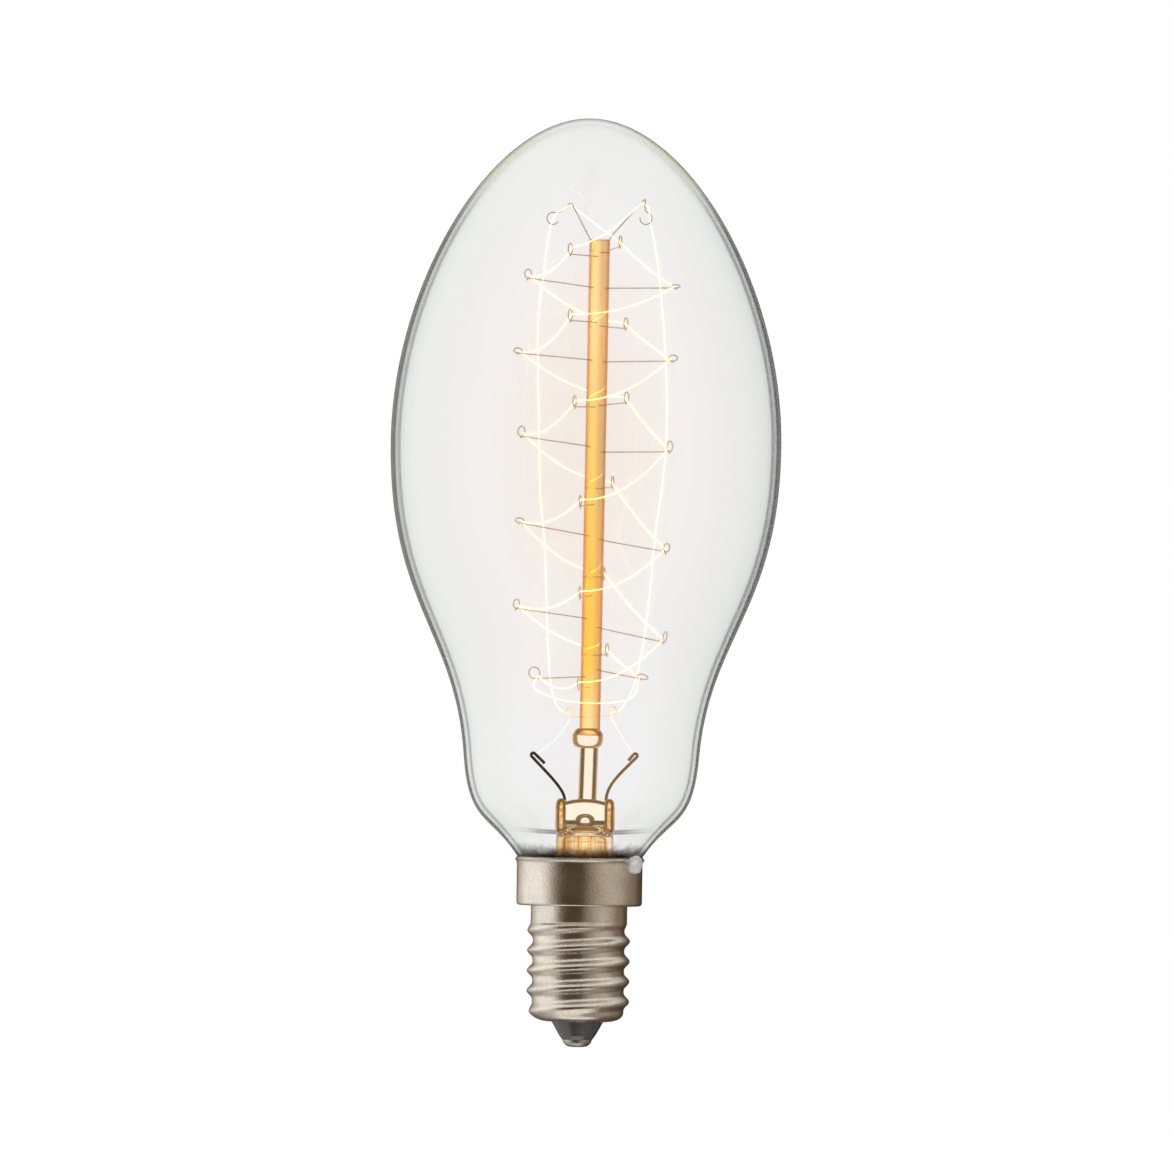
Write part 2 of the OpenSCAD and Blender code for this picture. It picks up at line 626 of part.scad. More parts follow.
// The drop of solder that joins the side lead to the collar's rim
module side_solder() {
    color("silver") rotate([0, 0, solder_bearing]) difference() {
        hull() {
            translate([8.75, 0, 26.35]) sphere(r = 0.62, $fn = 20);
            translate([8.62, 0.75, 26.1]) sphere(r = 0.5, $fn = 20);
            translate([8.62, -0.8, 25.9]) sphere(r = 0.5, $fn = 20);
            translate([8.5, 0.1, 25.0]) sphere(r = 0.55, $fn = 20);
        }
        rotate_extrude() polygon([
            [0, 20], [collar_r, 20], [collar_r, 25.75], [collar_r + 0.12, 26.15],
            [collar_r + 0.45, collar_rim_z], [collar_r + 0.3, collar_rim_z + 0.12], [0, collar_rim_z + 0.12]
        ]);
    }
}

glass_bulb();
flare_tube();
stem_press();
exhaust_tube();
stem_cane();
cane_joint();
hook_cane();
left_hooks();
right_hooks();
front_hooks();
back_hooks();
crown_hooks();
guide_hooks();
filament();
inner_lead_left();
inner_lead_right();
seal_wire_left();
seal_wire_right();
centre_lead();
side_lead();
basing_cement();
screw_shell();
insulator();
centre_eyelet();
centre_solder();
side_solder();
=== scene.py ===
"""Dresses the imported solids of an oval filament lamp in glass, hot wire and nickel.

Lengths are in metres. Z runs up the lamp's axis from the tip of its centre contact, and the front
view looks along +Y.
"""

import math

import bmesh
import bpy
from bpy.props import FloatProperty, FloatVectorProperty, IntProperty, PointerProperty
from mathutils import Matrix, Vector, noise


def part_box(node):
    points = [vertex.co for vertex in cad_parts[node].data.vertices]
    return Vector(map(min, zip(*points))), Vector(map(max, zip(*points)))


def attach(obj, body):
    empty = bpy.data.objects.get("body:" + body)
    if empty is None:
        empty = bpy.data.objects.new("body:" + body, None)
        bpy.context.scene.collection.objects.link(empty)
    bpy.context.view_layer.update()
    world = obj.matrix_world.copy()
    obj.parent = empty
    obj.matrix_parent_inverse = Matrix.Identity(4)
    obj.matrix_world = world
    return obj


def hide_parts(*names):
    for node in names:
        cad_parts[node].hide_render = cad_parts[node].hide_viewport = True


bl_info = {
    "name": "Filament Lamp",
    "version": (1, 0, 0),
    "blender": (4, 5, 0),
    "location": "3D View > Sidebar > Lamp",
    "description": "Glass, filament, cap and studio for an oval filament lamp",
    "category": "Object",
}

MM = 0.001
BODY = "root"
WHITE = (1.0, 1.0, 1.0)
# How bright the studio is all round for polished metal, by bearing from the front in degrees
GLOSS_LEVELS = (
    (-180, 0.15), (-160, 0.15), (-148, 0.55), (-136, 0.62), (-118, 0.98), (-90, 1.0), (-68, 0.95),
    (-54, 0.5), (-42, 0.16), (-30, 0.07), (6, 0.07), (18, 0.24), (34, 0.39), (60, 0.52), (84, 0.42),
    (104, 0.24), (124, 0.2), (140, 0.1), (162, 0.05), (180, 0.15),
)
# What polished metal sees above, below and right under it: how far up a heading points where a band
# starts and where it is full, the band's strength and its colour
GLOSS_BANDS = (
    (0.25, 0.75, 0.7, WHITE),
    (-0.2, -0.7, 0.45, (0.12, 0.1, 0.08)),
    (-0.86, -0.96, 0.85, (1.0, 0.97, 0.93)),
)
# How light clear glass is painted by the tilt of its surface, from square on (0) to edge on (1). Painted
# shade darkens its rims, standing in for the dark surroundings seen through them
BULB_EDGE_SHADE = (
    (0.0, (0.915, 0.9, 0.905)), (0.16, (0.91, 0.905, 0.905)), (0.32, (0.875, 0.875, 0.87)),
    (0.49, (0.865, 0.87, 0.86)), (0.6, (0.84, 0.86, 0.85)), (0.68, (0.82, 0.85, 0.84)),
    (0.755, (0.72, 0.76, 0.75)), (0.79, (0.055, 0.065, 0.058)), (0.83, (0.045, 0.055, 0.048)),
    (0.88, (0.24, 0.27, 0.26)), (1.0, (0.46, 0.5, 0.49)),
)
# The same kind of painted rim shade, in dark and amber bands, for the stem's glass, its bead, its flare
# and the amber rod
STEM_EDGE_SHADE = (
    (0.0, (1.0, 0.96, 0.93)), (0.07, (1.0, 0.93, 0.87)), (0.12, (0.1, 0.06, 0.03)),
    (0.16, (0.006, 0.004, 0.002)), (0.42, (0.008, 0.005, 0.002)), (0.54, (0.25, 0.15, 0.07)),
    (0.75, (0.45, 0.32, 0.18)), (1.0, (0.3, 0.2, 0.1)),
)
BEAD_EDGE_SHADE = (
    (0.0, (1.0, 0.95, 0.9)), (0.2, (1.0, 0.9, 0.8)), (0.28, (0.12, 0.06, 0.02)),
    (0.5, (0.03, 0.015, 0.005)), (0.7, (0.4, 0.22, 0.08)), (1.0, (0.35, 0.2, 0.08)),
)
FLARE_EDGE_SHADE = (
    (0.0, (1.0, 0.97, 0.9)), (0.1, (1.0, 0.95, 0.84)), (0.17, (0.78, 0.55, 0.27)),
    (0.3, (0.8, 0.56, 0.26)), (0.4, (1.0, 0.9, 0.72)), (0.55, (0.93, 0.76, 0.42)),
    (0.75, (0.35, 0.16, 0.05)), (1.0, (0.22, 0.1, 0.03)),
)
ROD_EDGE_SHADE = (
    (0.0, WHITE), (0.18, (0.98, 0.93, 0.85)), (0.28, (0.93, 0.62, 0.3)),
    (0.36, (0.72, 0.28, 0.04)), (0.54, (0.3, 0.08, 0.01)), (1.0, (0.1, 0.03, 0.01)),
)
# The tint of the bulb's clear glass, and how the hot cage behind it warms that
CLEAR_GLASS = (0.985, 0.985, 0.985)
CAGE_LIGHT = (
    (0.0, (1.0, 0.966, 0.93)), (0.03, (1.0, 0.971, 0.94)), (0.07, (1.0, 0.984, 0.966)),
    (0.17, CLEAR_GLASS), (1.0, CLEAR_GLASS),
)
# Painted shade on the neck: a dark band standing in for dark reflections, and a dark line standing in for
# a reflected line
NECK_SHADE, NECK_LINE_SHADE = (0.12, 0.105, 0.09), (0.1, 0.09, 0.08)
# Painted light on the crown's rim, and a painted olive reflection on the shoulders' rims
CROWN_EDGE_LIGHT, SHOULDER_REFLECTION = (0.93, 0.93, 0.92), (0.71, 0.73, 0.42)
# The press's mottled amber, deep and golden, and the painted shadow along its web's foot
PRESS_SHADE, PRESS_GOLD, PRESS_FOOT_SHADOW = (0.5, 0.24, 0.07), (1.0, 0.72, 0.36), (0.03, 0.015, 0.005)
STEM_SIDE = (0.86, 0.66, 0.34)
# The rod's amber from its foot (0) to its top (1), the painted shade that it turns to at one side and in
# zones along that side, and what it turns to in its streaks
ROD_BY_HEIGHT = (
    (0.0, (1.0, 0.78, 0.35)), (0.06, (1.0, 0.76, 0.26)), (0.15, (1.0, 0.6, 0.03)),
    (0.34, (1.0, 0.58, 0.02)), (0.5, (1.0, 0.68, 0.1)), (0.68, (0.98, 0.7, 0.2)),
    (0.84, (1.0, 0.84, 0.4)), (1.0, (1.0, 0.77, 0.28)),
)
ROD_SIDE_SHADE, ROD_STREAK, ROD_SIDE_ZONE_SHADE = (0.62, 0.26, 0.07), (1.0, 0.85, 0.5), (0.5, 0.4, 0.3)
# The hooks' wire at the cage's foot, and the filament's light on it, from the foot (0) to the top (1)
HOOK_FOOT = ((0.0, (0.95, 0.8, 0.55)), (0.04, (0.95, 0.75, 0.5)), (0.09, (0.5, 0.4, 0.32)))
HOOK_GLOW = (
    (0.0, (0.5, 0.3, 0.13)), (0.04, (0.4, 0.22, 0.1)), (0.1, (0.14, 0.07, 0.03)),
    (1.0, (0.1, 0.05, 0.03)),
)
# How far off the lamp's axis the press stands
STEM_X = 0.65 * MM
# The leaning rod in millimetres: the X of its foot and of its top, the Z of its foot, and its height
ROD_FOOT_X, ROD_TOP_X, ROD_FOOT_Z, ROD_HEIGHT = 1.12, 1.5, 43.6, 69.4
# The four rows of hooks from the top down: where each leaves the rod, how far its wire rises and reaches,
# its bearing, how its eye leans and turns, the eye's size against the largest, where the strand rests in
# it, and how far the strand that leaves it sags. Lengths in millimetres, angles in degrees.
ALIKE = (1, 1, 1, 1, 1, 1)
STRAIGHT = (0, 0, 0, 0, 0, 0)
LEFT_ROW = {
    "z": (106.2, 96.1, 84.0, 71.5, 60.0, 52.0),
    "rise": (1.3, 0.9, 1.4, 1.8, 1.4, -0.4),
    "reach": (10.1, 11.2, 10.6, 10.6, 10.8, 7.9),
    "bearing": (180, 180, 180, 180, 180, 180),
    "lean": (0, 50, 0, 57, 0, 0),
    "turn": (44, 0, 46, 0, 49, 20),
    "size": (0.83, 0.75, 0.92, 0.83, 0.83, 1.07),
    "under": 35,
    "sag": 0.24,
}
BACK_ROW = {
    "z": (111.1, 100.9, 89.8, 78.2, 65.9, 55.0),
    "rise": (1.2, -0.1, 0.6, 0.3, -0.2, 0.1),
    "reach": (10.2, 10.5, 10.5, 10.4, 10.2, 7.6),
    "bearing": (73, 68, 66, 76, 81, 73),
    "lean": STRAIGHT,
    "turn": STRAIGHT,
    "size": ALIKE,
    "under": 0,
    "sag": 0.06,
}
RIGHT_ROW = {
    "z": (106.2, 95.9, 83.3, 71.2, 59.0, 53.1),
    "rise": (0.2, 0.3, 0.2, -1.7, -2.1, -1.4),
    "reach": (10.8, 10.6, 10.4, 10.3, 10.3, 7.3),
    "bearing": STRAIGHT,
    "lean": (67, 50, 0, 0, 0, 63),
    "turn": (0, 0, 57, 45, 69, 0),
    "size": (0.77, 0.83, 1, 0.77, 1, 1),
    "under": 35,
    "sag": 0.27,
}
FRONT_ROW = {
    "z": (110.6, 101.4, 89.6, 76.0, 63.3, 50.5),
    "rise": (0.1, 0.1, -0.1, -0.3, -0.3, -0.2),
    "reach": (10.4, 10.4, 10.4, 10.3, 10.2, 8.2),
    "bearing": (-113, -112, -107, -101, -100, -102),
    "lean": STRAIGHT,
    "turn": STRAIGHT,
    "size": ALIKE,
    "under": -15,
    "sag": 0.33,
}
ROWS = (LEFT_ROW, BACK_ROW, RIGHT_ROW, FRONT_ROW)
EYE_R, HOOK_WIRE_R, STRAND_R = 0.75, 0.085, 0.12
# The loose ends of the filament and the strand that joins its two helices at the foot
LEFT_RETURN = (
    (-6.55, 0, 40.75), (-3.6, 0.2, 43.1), (-1.75, -0.35, 46.2), (-3.3, 1.4, 47.5), (-4.3, 3, 50),
    (-5.0, 4, 57), (-5.6, 4.3, 70), (-6.3, 4.3, 77), (-6.7, 4.2, 88), (-7.0, 3.8, 101.4),
    (-6.3, 2.8, 108), (-5.3, 1.4, 115.4), (-3.2, 1.1, 117.6),
)
RIGHT_RETURN = (
    (8.3, -1.3, 117.6), (8.5, -1.3, 115.6), (9.2, 0.8, 112.5), (10.0, 2.8, 107.5), (11.0, 3.2, 96.4),
    (11.3, 3.3, 86), (10.8, 3.3, 79), (9.9, 3.4, 72), (9.1, 3.6, 62), (7.6, 3.2, 52),
    (5.6, 1.4, 47.6), (4.05, -0.5, 46.7), (5.5, -0.2, 43.8), (7.2, 0, 41.15),
)
FOOT_LINK = ((-6.6, -2.4, 50.2), (-2.6, -4.6, 48.6), (3.2, -4.6, 48.3), (7.0, -2.6, 49.2))
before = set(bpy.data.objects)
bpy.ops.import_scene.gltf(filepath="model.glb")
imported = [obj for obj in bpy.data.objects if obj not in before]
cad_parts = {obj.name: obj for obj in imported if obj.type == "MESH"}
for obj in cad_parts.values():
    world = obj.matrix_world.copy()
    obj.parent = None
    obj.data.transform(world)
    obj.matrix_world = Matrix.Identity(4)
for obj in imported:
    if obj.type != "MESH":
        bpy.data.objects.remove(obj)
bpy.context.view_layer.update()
LAMP_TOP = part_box("glass_bulb")[1].z
BULB_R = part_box("glass_bulb")[1].x
CAP_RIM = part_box("screw_shell")[1]


def length(label, about, millimetres):
    """A length that a user may change, given in millimetres."""
    return FloatProperty(
        name=label, description=about, default=millimetres * MM, unit="LENGTH", precision=5
    )


def colour(label, about, red, green, blue):
    """A colour that a user may change, in linear values."""
    return FloatVectorProperty(
        name=label, description=about, default=(red, green, blue), subtype="COLOR", min=0, max=1
    )


class BulbSizes(bpy.types.PropertyGroup):
    """Sizes of the blown bulb."""

    equator_z: length("Equator height", "Height of the widest place", 84.4)
    waist_r: length("Waist radius", "Radius of the waist", 16.5)
    waist_z: length("Waist height", "Height of the waist", 40.9)
    neck_r: length("Neck radius", "Outer radius of the neck inside the cap", 7.6)
    neck_foot_z: length("Neck foot", "Height of the neck's lower end", 21.8)
    wall: length("Wall", "Thickness of the glass", 0.7)
    segments: IntProperty(name="Segments", description="Faces round the bulb", default=160, min=32)


class StemSizes(bpy.types.PropertyGroup):
    """Sizes of the glass stem and its canes."""

    shift: length("Shift", "How far the stem stands off the lamp's axis", 0.65)
    flare_r: length("Flare radius", "Outer radius of the flare tube", 4.05)
    flare_wall: length("Flare wall", "Thickness of the flare tube", 0.8)
    press_w: length("Press width", "Width of the flattened press", 8.4)
    press_t: length("Press thickness", "Thickness of the press at its lobes", 2.8)
    press_foot_z: length("Press foot", "Height of the press's foot", 31.0)
    press_top_z: length("Press top", "Height of the press's top", 34.7)
    cane_r: length("Cane radius", "Radius of the plain cane above the press", 1.32)
    rod_r: length("Rod radius", "Radius of the cane that holds the hooks", 1.45)
    joint_z: length("Joint height", "Height where the two canes meet", 43.6)
    rod_top_z: length("Rod top", "Height of the rod's top", 113.0)


class FilamentSizes(bpy.types.PropertyGroup):
    """Sizes of the coiled filament."""

    coil_r: length("Coil radius", "Radius of the coil to the outside of its wire", 0.09)
    wire_r: length("Wire radius", "Radius of the tungsten wire", 0.03)
    pitch: length("Pitch", "Rise of the coil in one turn", 0.16)
    steps: IntProperty(name="Steps", description="Points in one turn of the coil", default=7, min=5)
    sections: IntProperty(name="Sections", description="Pieces of the whole coil", default=2, min=1)


class CapSizes(bpy.types.PropertyGroup):
    """Sizes of the screw cap."""

    crest_r: length("Crest radius", "Radius over the thread's crests", 6.9)
    root_r: length("Root radius", "Radius at the bottom of the grooves", 6.12)
    pitch: length("Pitch", "Rise of the thread in one turn", 2.822)
    barrel_r: length("Barrel radius", "Radius of the plain barrel", 6.45)
    seat_z: length("Seat height", "Height of the collar's underside", 20.1)
    collar_r: length("Collar radius", "Radius of the collar", 8.5)
    sheet: length("Sheet", "Thickness of the cap's sheet", 0.3)
    segments: IntProperty(name="Segments", description="Faces round the cap", default=144, min=32)


class LampColours(bpy.types.PropertyGroup):
    """Colours of the lamp's materials."""

    stem: colour("Stem glass", "Tint of the stem's glass", 1.0, 0.94, 0.84)
    amber: colour("Amber", "Light that the stem's glass carries", 1.0, 0.55, 0.12)
    heat: colour("Heat", "Colour of the hot filament", 1.0, 0.5, 0.18)
    hook: colour("Hook wire", "Drawn wire", 0.42, 0.36, 0.31)
    nickel: colour("Nickel", "Satin nickel of the cap", 0.86, 0.79, 0.7)


class StudioSettings(bpy.types.PropertyGroup):
    """The camera's place and the frame that it sees."""

    frame_width: length("Frame width", "Width of the view at the lamp's axis", 164.36)
    middle_x: length("Middle X", "What the middle of the view looks at, sideways", 0.434)
    middle_z: length("Middle Z", "What the middle of the view looks at, upwards", 64.41)
    roll: FloatProperty(
        name="Roll", description="How far the camera is turned", default=0.015, subtype="ANGLE"
    )
    lens: FloatProperty(name="Lens", description="Focal length in millimetres", default=500.0, min=20)
    floor_z: length("Floor height", "Height of the floor under the lamp", -45.0)


def feed(tree, made, inputs):
    """Gives each input a value, or the output socket that feeds it."""
    for key, value in inputs.items():
        socket = made.inputs[key]
        if isinstance(value, bpy.types.NodeSocket):
            tree.links.new(value, socket)
        elif socket.type == "RGBA":
            socket.default_value = (*value[:3], 1.0)
        else:
            socket.default_value = value


def node(tree, kind, inputs=None, **settings):
    """Adds a node with its settings and its inputs."""
    made = tree.nodes.new(kind)
    for key, value in settings.items():
        setattr(made, key, value)
    feed(tree, made, inputs or {})
    return made


def maths(tree, operation, *values):
    """The result of one Math node."""
    return node(tree, "ShaderNodeMath", dict(enumerate(values)), operation=operation).outputs[0]


def times(tree, product, *others):
    """The product of several values."""
    for other in others:
        product = maths(tree, "MULTIPLY", product, other)
    return product


def gap_from(tree, value, middle):
    """How far a value lies from a middle one, on either side."""
    return maths(tree, "ABSOLUTE", maths(tree, "SUBTRACT", value, middle))


def share_between(tree, value, low, high, **settings):
    """How far a value has gone from low to high, from 0 to 1."""
    inputs = {"Value": value, "From Min": low, "From Max": high}
    return node(tree, "ShaderNodeMapRange", inputs, **settings).outputs["Result"]


def smooth_step(tree, value, low, high):
    """A value that climbs smoothly from 0 at low to 1 at high."""
    return share_between(tree, value, low, high, interpolation_type="SMOOTHSTEP")


def step_mm(tree, value, low, high):
    """As smooth_step, with low and high in millimetres."""
    return smooth_step(tree, value, low * MM, high * MM)


def mix_colour(tree, factor, first, second, blend="MIX"):
    """The colour between two colours."""
    inputs = {0: factor, 6: first, 7: second}
    return node(tree, "ShaderNodeMix", inputs, data_type="RGBA", blend_type=blend).outputs[2]


def dimmed(tree, factor, colour, share):
    """A colour that falls to a share of its strength as the factor goes from 0 to 1."""
    return mix_colour(tree, factor, colour, [level * share for level in colour])


def ramp(tree, factor, stops):
    """The colour that a factor from 0 to 1 meets between its stops."""
    made = node(tree, "ShaderNodeValToRGB", {0: factor})
    points = made.color_ramp.elements
    while len(points) < len(stops):
        points.new(1.0)
    for point, (place, shade) in zip(points, stops):
        point.position = place
        point.color = (*shade, 1.0)
    return made.outputs[0]


def clouds(tree, place, scale, detail, roughness=0.5):
    """A cloudy value between 0 and 1."""
    inputs = {"Vector": place, "Scale": scale, "Detail": detail, "Roughness": roughness}
    return node(tree, "ShaderNodeTexNoise", inputs).outputs["Fac"]


def lamp_place(tree):
    """Where a point lies on the lamp: the place itself, and its X, Y and Z."""
    place = node(tree, "ShaderNodeTexCoord").outputs["Object"]
    return place, *node(tree, "ShaderNodeSeparateXYZ", {0: place}).outputs


def surface_tilt(tree):
    """How far a surface is turned from the viewer, from square on (0) to edge on (1)."""
    return node(tree, "ShaderNodeLayerWeight", {"Blend": 0.5}).outputs["Facing"]


def leaving_glass(tree):
    """1 where light leaves a glass body, and 0 where it enters."""
    return node(tree, "ShaderNodeNewGeometry").outputs["Backfacing"]


def shared_group(name, inputs, outputs, build):
    """The shader node group of a name, built the first time. Its sockets are all numbers."""
    if name in bpy.data.node_groups:
        return bpy.data.node_groups[name]
    group = bpy.data.node_groups.new(name, "ShaderNodeTree")
    kind = "NodeSocketFloat"
    for label, default in inputs.items():
        group.interface.new_socket(label, in_out="INPUT", socket_type=kind).default_value = default
    for label in outputs:
        group.interface.new_socket(label, in_out="OUTPUT", socket_type=kind)
    results = build(group, group.nodes.new("NodeGroupInput").outputs)
    node(group, "NodeGroupOutput", dict(zip(outputs, results)))
    return group


def build_grain(group, given):
    """Fine speckle, the wide clouds in it, and a height for bump."""
    place = node(group, "ShaderNodeTexCoord").outputs["Object"]
    fine = clouds(group, place, given["Scale"], 2.0, 0.6)
    wide = clouds(group, place, times(group, given["Scale"], 0.07), 4.0, 0.55)
    return smooth_step(group, fine, 0.42, 0.68), smooth_step(group, wide, 0.3, 0.7), fine


def grain(tree, scale):
    """Places the fine grain in a material, and gives its outputs."""
    group = shared_group("Fine grain", {"Scale": 5000.0}, ("Speckle", "Clouds", "Height"), build_grain)
    return node(tree, "ShaderNodeGroup", {"Scale": scale}, node_tree=group).outputs


def build_streaks(group, given):
    """Long streaks that run up the lamp, as drawn glass has, and the zones where they are strong."""
    _, x, y, z = lamp_place(group)
    along = times(group, z, given["Along"])
    across = [times(group, side, given["Across"]) for side in (x, y)]
    joined = node(group, "ShaderNodeCombineXYZ", dict(enumerate((*across, along)))).outputs[0]
    fine = clouds(group, joined, 1.0, 3.0)
    inputs = {"W": times(group, along, 0.8), "Scale": 1.0, "Detail": 1.0}
    zones = node(group, "ShaderNodeTexNoise", inputs, noise_dimensions="1D").outputs["Fac"]
    return smooth_step(group, fine, 0.35, 0.7), smooth_step(group, zones, 0.35, 0.65)


def streaks(tree, across, along):
    """Places the drawn streaks in a material, and gives its outputs."""
    sizes = {"Across": 900.0, "Along": 60.0}
    group = shared_group("Drawn streaks", sizes, ("Streaks", "Zones"), build_streaks)
    inputs = {"Across": across, "Along": along}
    return node(tree, "ShaderNodeGroup", inputs, node_tree=group).outputs


def new_material(name):
    """A material with a Principled shader, its tree and that shader."""
    material = bpy.data.materials.new(name)
    material.use_nodes = True
    return material, material.node_tree, material.node_tree.nodes["Principled BSDF"]


def mix_surface(tree, share, shader, other):
    """Mixes a second shader into what a material's surface shows."""
    mixed = node(tree, "ShaderNodeMixShader", {0: share, 1: shader.outputs[0], 2: other.outputs[0]})
    feed(tree, tree.nodes["Material Output"], {"Surface": mixed.outputs[0]})


def finish_glass(tree, shader, inputs):
    """Makes a shader clear glass. Shadow rays pass through it, so that what it holds is lit."""
    feed(tree, shader, {"Transmission Weight": 1.0, "IOR": 1.5, **inputs})
    is_shadow = node(tree, "ShaderNodeLightPath").outputs["Is Shadow Ray"]
    mix_surface(tree, is_shadow, shader, node(tree, "ShaderNodeBsdfTransparent"))


def bump(tree, height, distance):
    """A normal raised by a height that lies between 0 and 1."""
    inputs = {"Height": height, "Strength": 0.5, "Distance": distance}
    return node(tree, "ShaderNodeBump", inputs).outputs[0]


def painted_edge_shade(tree, body, stops):
    """A glass body's colour with painted shade, changed where light enters it by the tilt of its surface.
    """
    entering = mix_colour(tree, leaving_glass(tree), ramp(tree, surface_tilt(tree), stops), WHITE)
    return mix_colour(tree, 1.0, entering, body, "MULTIPLY")


def bulb_material():
    """Clear blown glass, a trace hazy, with painted shade at its rims and a dark band of painted shade on
    its neck, for the dark reflections just above the cap.
    """
    material, tree, shader = new_material("bulb_glass")
    place, x, y, z = lamp_place(tree)
    tilt = surface_tilt(tree)
    # The painted shade on the neck ends in an uneven edge a few millimetres above the collar
    drift = maths(tree, "MULTIPLY_ADD", clouds(tree, place, 900.0, 3.0), 2.2 * MM, -1.1 * MM)
    above_neck_shade = step_mm(tree, maths(tree, "ADD", z, drift), 26.6, 28.6)
    by_cage = times(tree, step_mm(tree, z, 44, 56), step_mm(tree, z, 121, 106))
    warmed = mix_colour(tree, by_cage, CLEAR_GLASS, ramp(tree, tilt, CAGE_LIGHT))
    body = mix_colour(tree, above_neck_shade, NECK_SHADE, warmed)
    # A painted dark line, standing in for a reflected line, crosses the neck's back wall on both sides of
    # the stem
    off_line = gap_from(tree, z, 30.15 * MM)
    off_stem = gap_from(tree, x, STEM_X)
    shade_line = times(tree, step_mm(tree, off_line, 0.22, 0.05), step_mm(tree, y, 0, 1))
    shade_line = times(tree, shade_line, step_mm(tree, off_stem, 12, 4.5))
    edge_shaded = painted_edge_shade(tree, mix_colour(tree, shade_line, body, NECK_LINE_SHADE), BULB_EDGE_SHADE)
    # The crown is painted pale over its rim shade, and the shoulders' rims get a painted olive reflection
    edge_shaded = mix_colour(tree, times(tree, step_mm(tree, z, 113, 125), 0.75), edge_shaded, CROWN_EDGE_LIGHT)
    shoulder_reflection = times(tree, step_mm(tree, z, 118.5, 122), step_mm(tree, z, 129, 125.5))
    shoulder_reflection = times(tree, shoulder_reflection, smooth_step(tree, tilt, 0.66, 0.8), 0.8)
    # Fine dust on the outside blurs the hot strands behind it a little
    dust = smooth_step(tree, clouds(tree, place, 60000.0, 0.0), 0.62, 0.66)
    outside = maths(tree, "SUBTRACT", 1.0, leaving_glass(tree))
    haze = times(tree, dust, smooth_step(tree, tilt, 0.5, 0.3), outside, by_cage, 0.15)
    tint = mix_colour(tree, shoulder_reflection, edge_shaded, SHOULDER_REFLECTION)
    finish_glass(tree, shader, {"Base Color": tint, "Roughness": haze, "Specular Tint": (0.3, 0.3, 0.3)})
    return material


def stem_material(name, edge, glow, mottled=False):
    """Clear lead glass that carries a little of the filament's light, with painted shade at its rims. The
    press's ends are mottled, and a painted shadow runs along the web's foot.
    """
    colours = bpy.context.scene.lamp_colours
    material, tree, shader = new_material(name)
    lit = dimmed(tree, streaks(tree, 1500.0, 40.0)["Streaks"], colours.amber, 0.6)
    place, x, _, z = lamp_place(tree)
    if mottled:
        patches = smooth_step(tree, clouds(tree, place, 1500.0, 1.0), 0.42, 0.6)
        golden = mix_colour(tree, patches, PRESS_SHADE, PRESS_GOLD)
        aside = gap_from(tree, x, STEM_X)
        # A painted shadow line along the web's foot, where it meets the flare's dome, rising a little
        # towards the lobes
        foot_shadow_z = maths(tree, "MULTIPLY_ADD", step_mm(tree, aside, 0.9, 1.4), 0.3 * MM, 31.2 * MM)
        dark = step_mm(tree, gap_from(tree, z, foot_shadow_z), 0.3, 0.12)
        web = mix_colour(tree, dark, colours.stem, PRESS_FOOT_SHADOW)
        body = mix_colour(tree, step_mm(tree, aside, 2.7, 3.0), web, golden)
    else:
        body = mix_colour(tree, step_mm(tree, x, -0.5, -3), colours.stem, STEM_SIDE)
    inputs = {
        "Base Color": painted_edge_shade(tree, body, edge),
        "Roughness": 0.0,
        "Specular Tint": (0.5, 0.35, 0.2),
        "Emission Color": lit,
        "Emission Strength": glow,
    }
    finish_glass(tree, shader, inputs)
    return material


def rod_material():
    """Amber glass, deepest below its middle and streaked along its length, with painted shade towards one
    side and at its rims, and a faint painted glow.
    """
    colours = bpy.context.scene.lamp_colours
    material, tree, shader = new_material("amber_cane")
    drawn = streaks(tree, 1400.0, 70.0)
    _, x, _, z = lamp_place(tree)
    up = share_between(tree, z, ROD_FOOT_Z * MM, (ROD_FOOT_Z + ROD_HEIGHT) * MM)
    body = ramp(tree, up, ROD_BY_HEIGHT)
    # Painted shade darkens the rod towards one side, more deeply in zones along it
    side = times(tree, step_mm(tree, x, 1.1, 2.0), 0.8)
    body = mix_colour(tree, side, body, ROD_SIDE_SHADE)
    body = mix_colour(tree, times(tree, drawn["Streaks"], 0.25), body, ROD_STREAK)
    body = mix_colour(tree, times(tree, drawn["Zones"], side), body, ROD_SIDE_ZONE_SHADE)
    inputs = {
        "Base Color": painted_edge_shade(tree, body, ROD_EDGE_SHADE),
        "Roughness": times(tree, drawn["Streaks"], 0.12),
        # A faint painted glow, standing in for the filament's light in the rod
        "Emission Color": dimmed(tree, drawn["Streaks"], colours.amber, 0.5),
        "Emission Strength": 0.1,
    }
    finish_glass(tree, shader, inputs)
    return material


def hot_material():
    """Coiled tungsten at white-orange heat, which cools towards the leads."""
    material, tree, shader = new_material("filament_coil")
    heat = dimmed(tree, grain(tree, 9000.0)["Clouds"], bpy.context.scene.lamp_colours.heat, 0.9)
    hot = step_mm(tree, lamp_place(tree)[3], 44, 52)
    inputs = {
        "Base Color": (0.3, 0.25, 0.2),
        "Emission Color": mix_colour(tree, hot, (0.19, 0.165, 0.145), heat),
        "Emission Strength": 5.5,
    }
    feed(tree, shader, inputs)
    return material


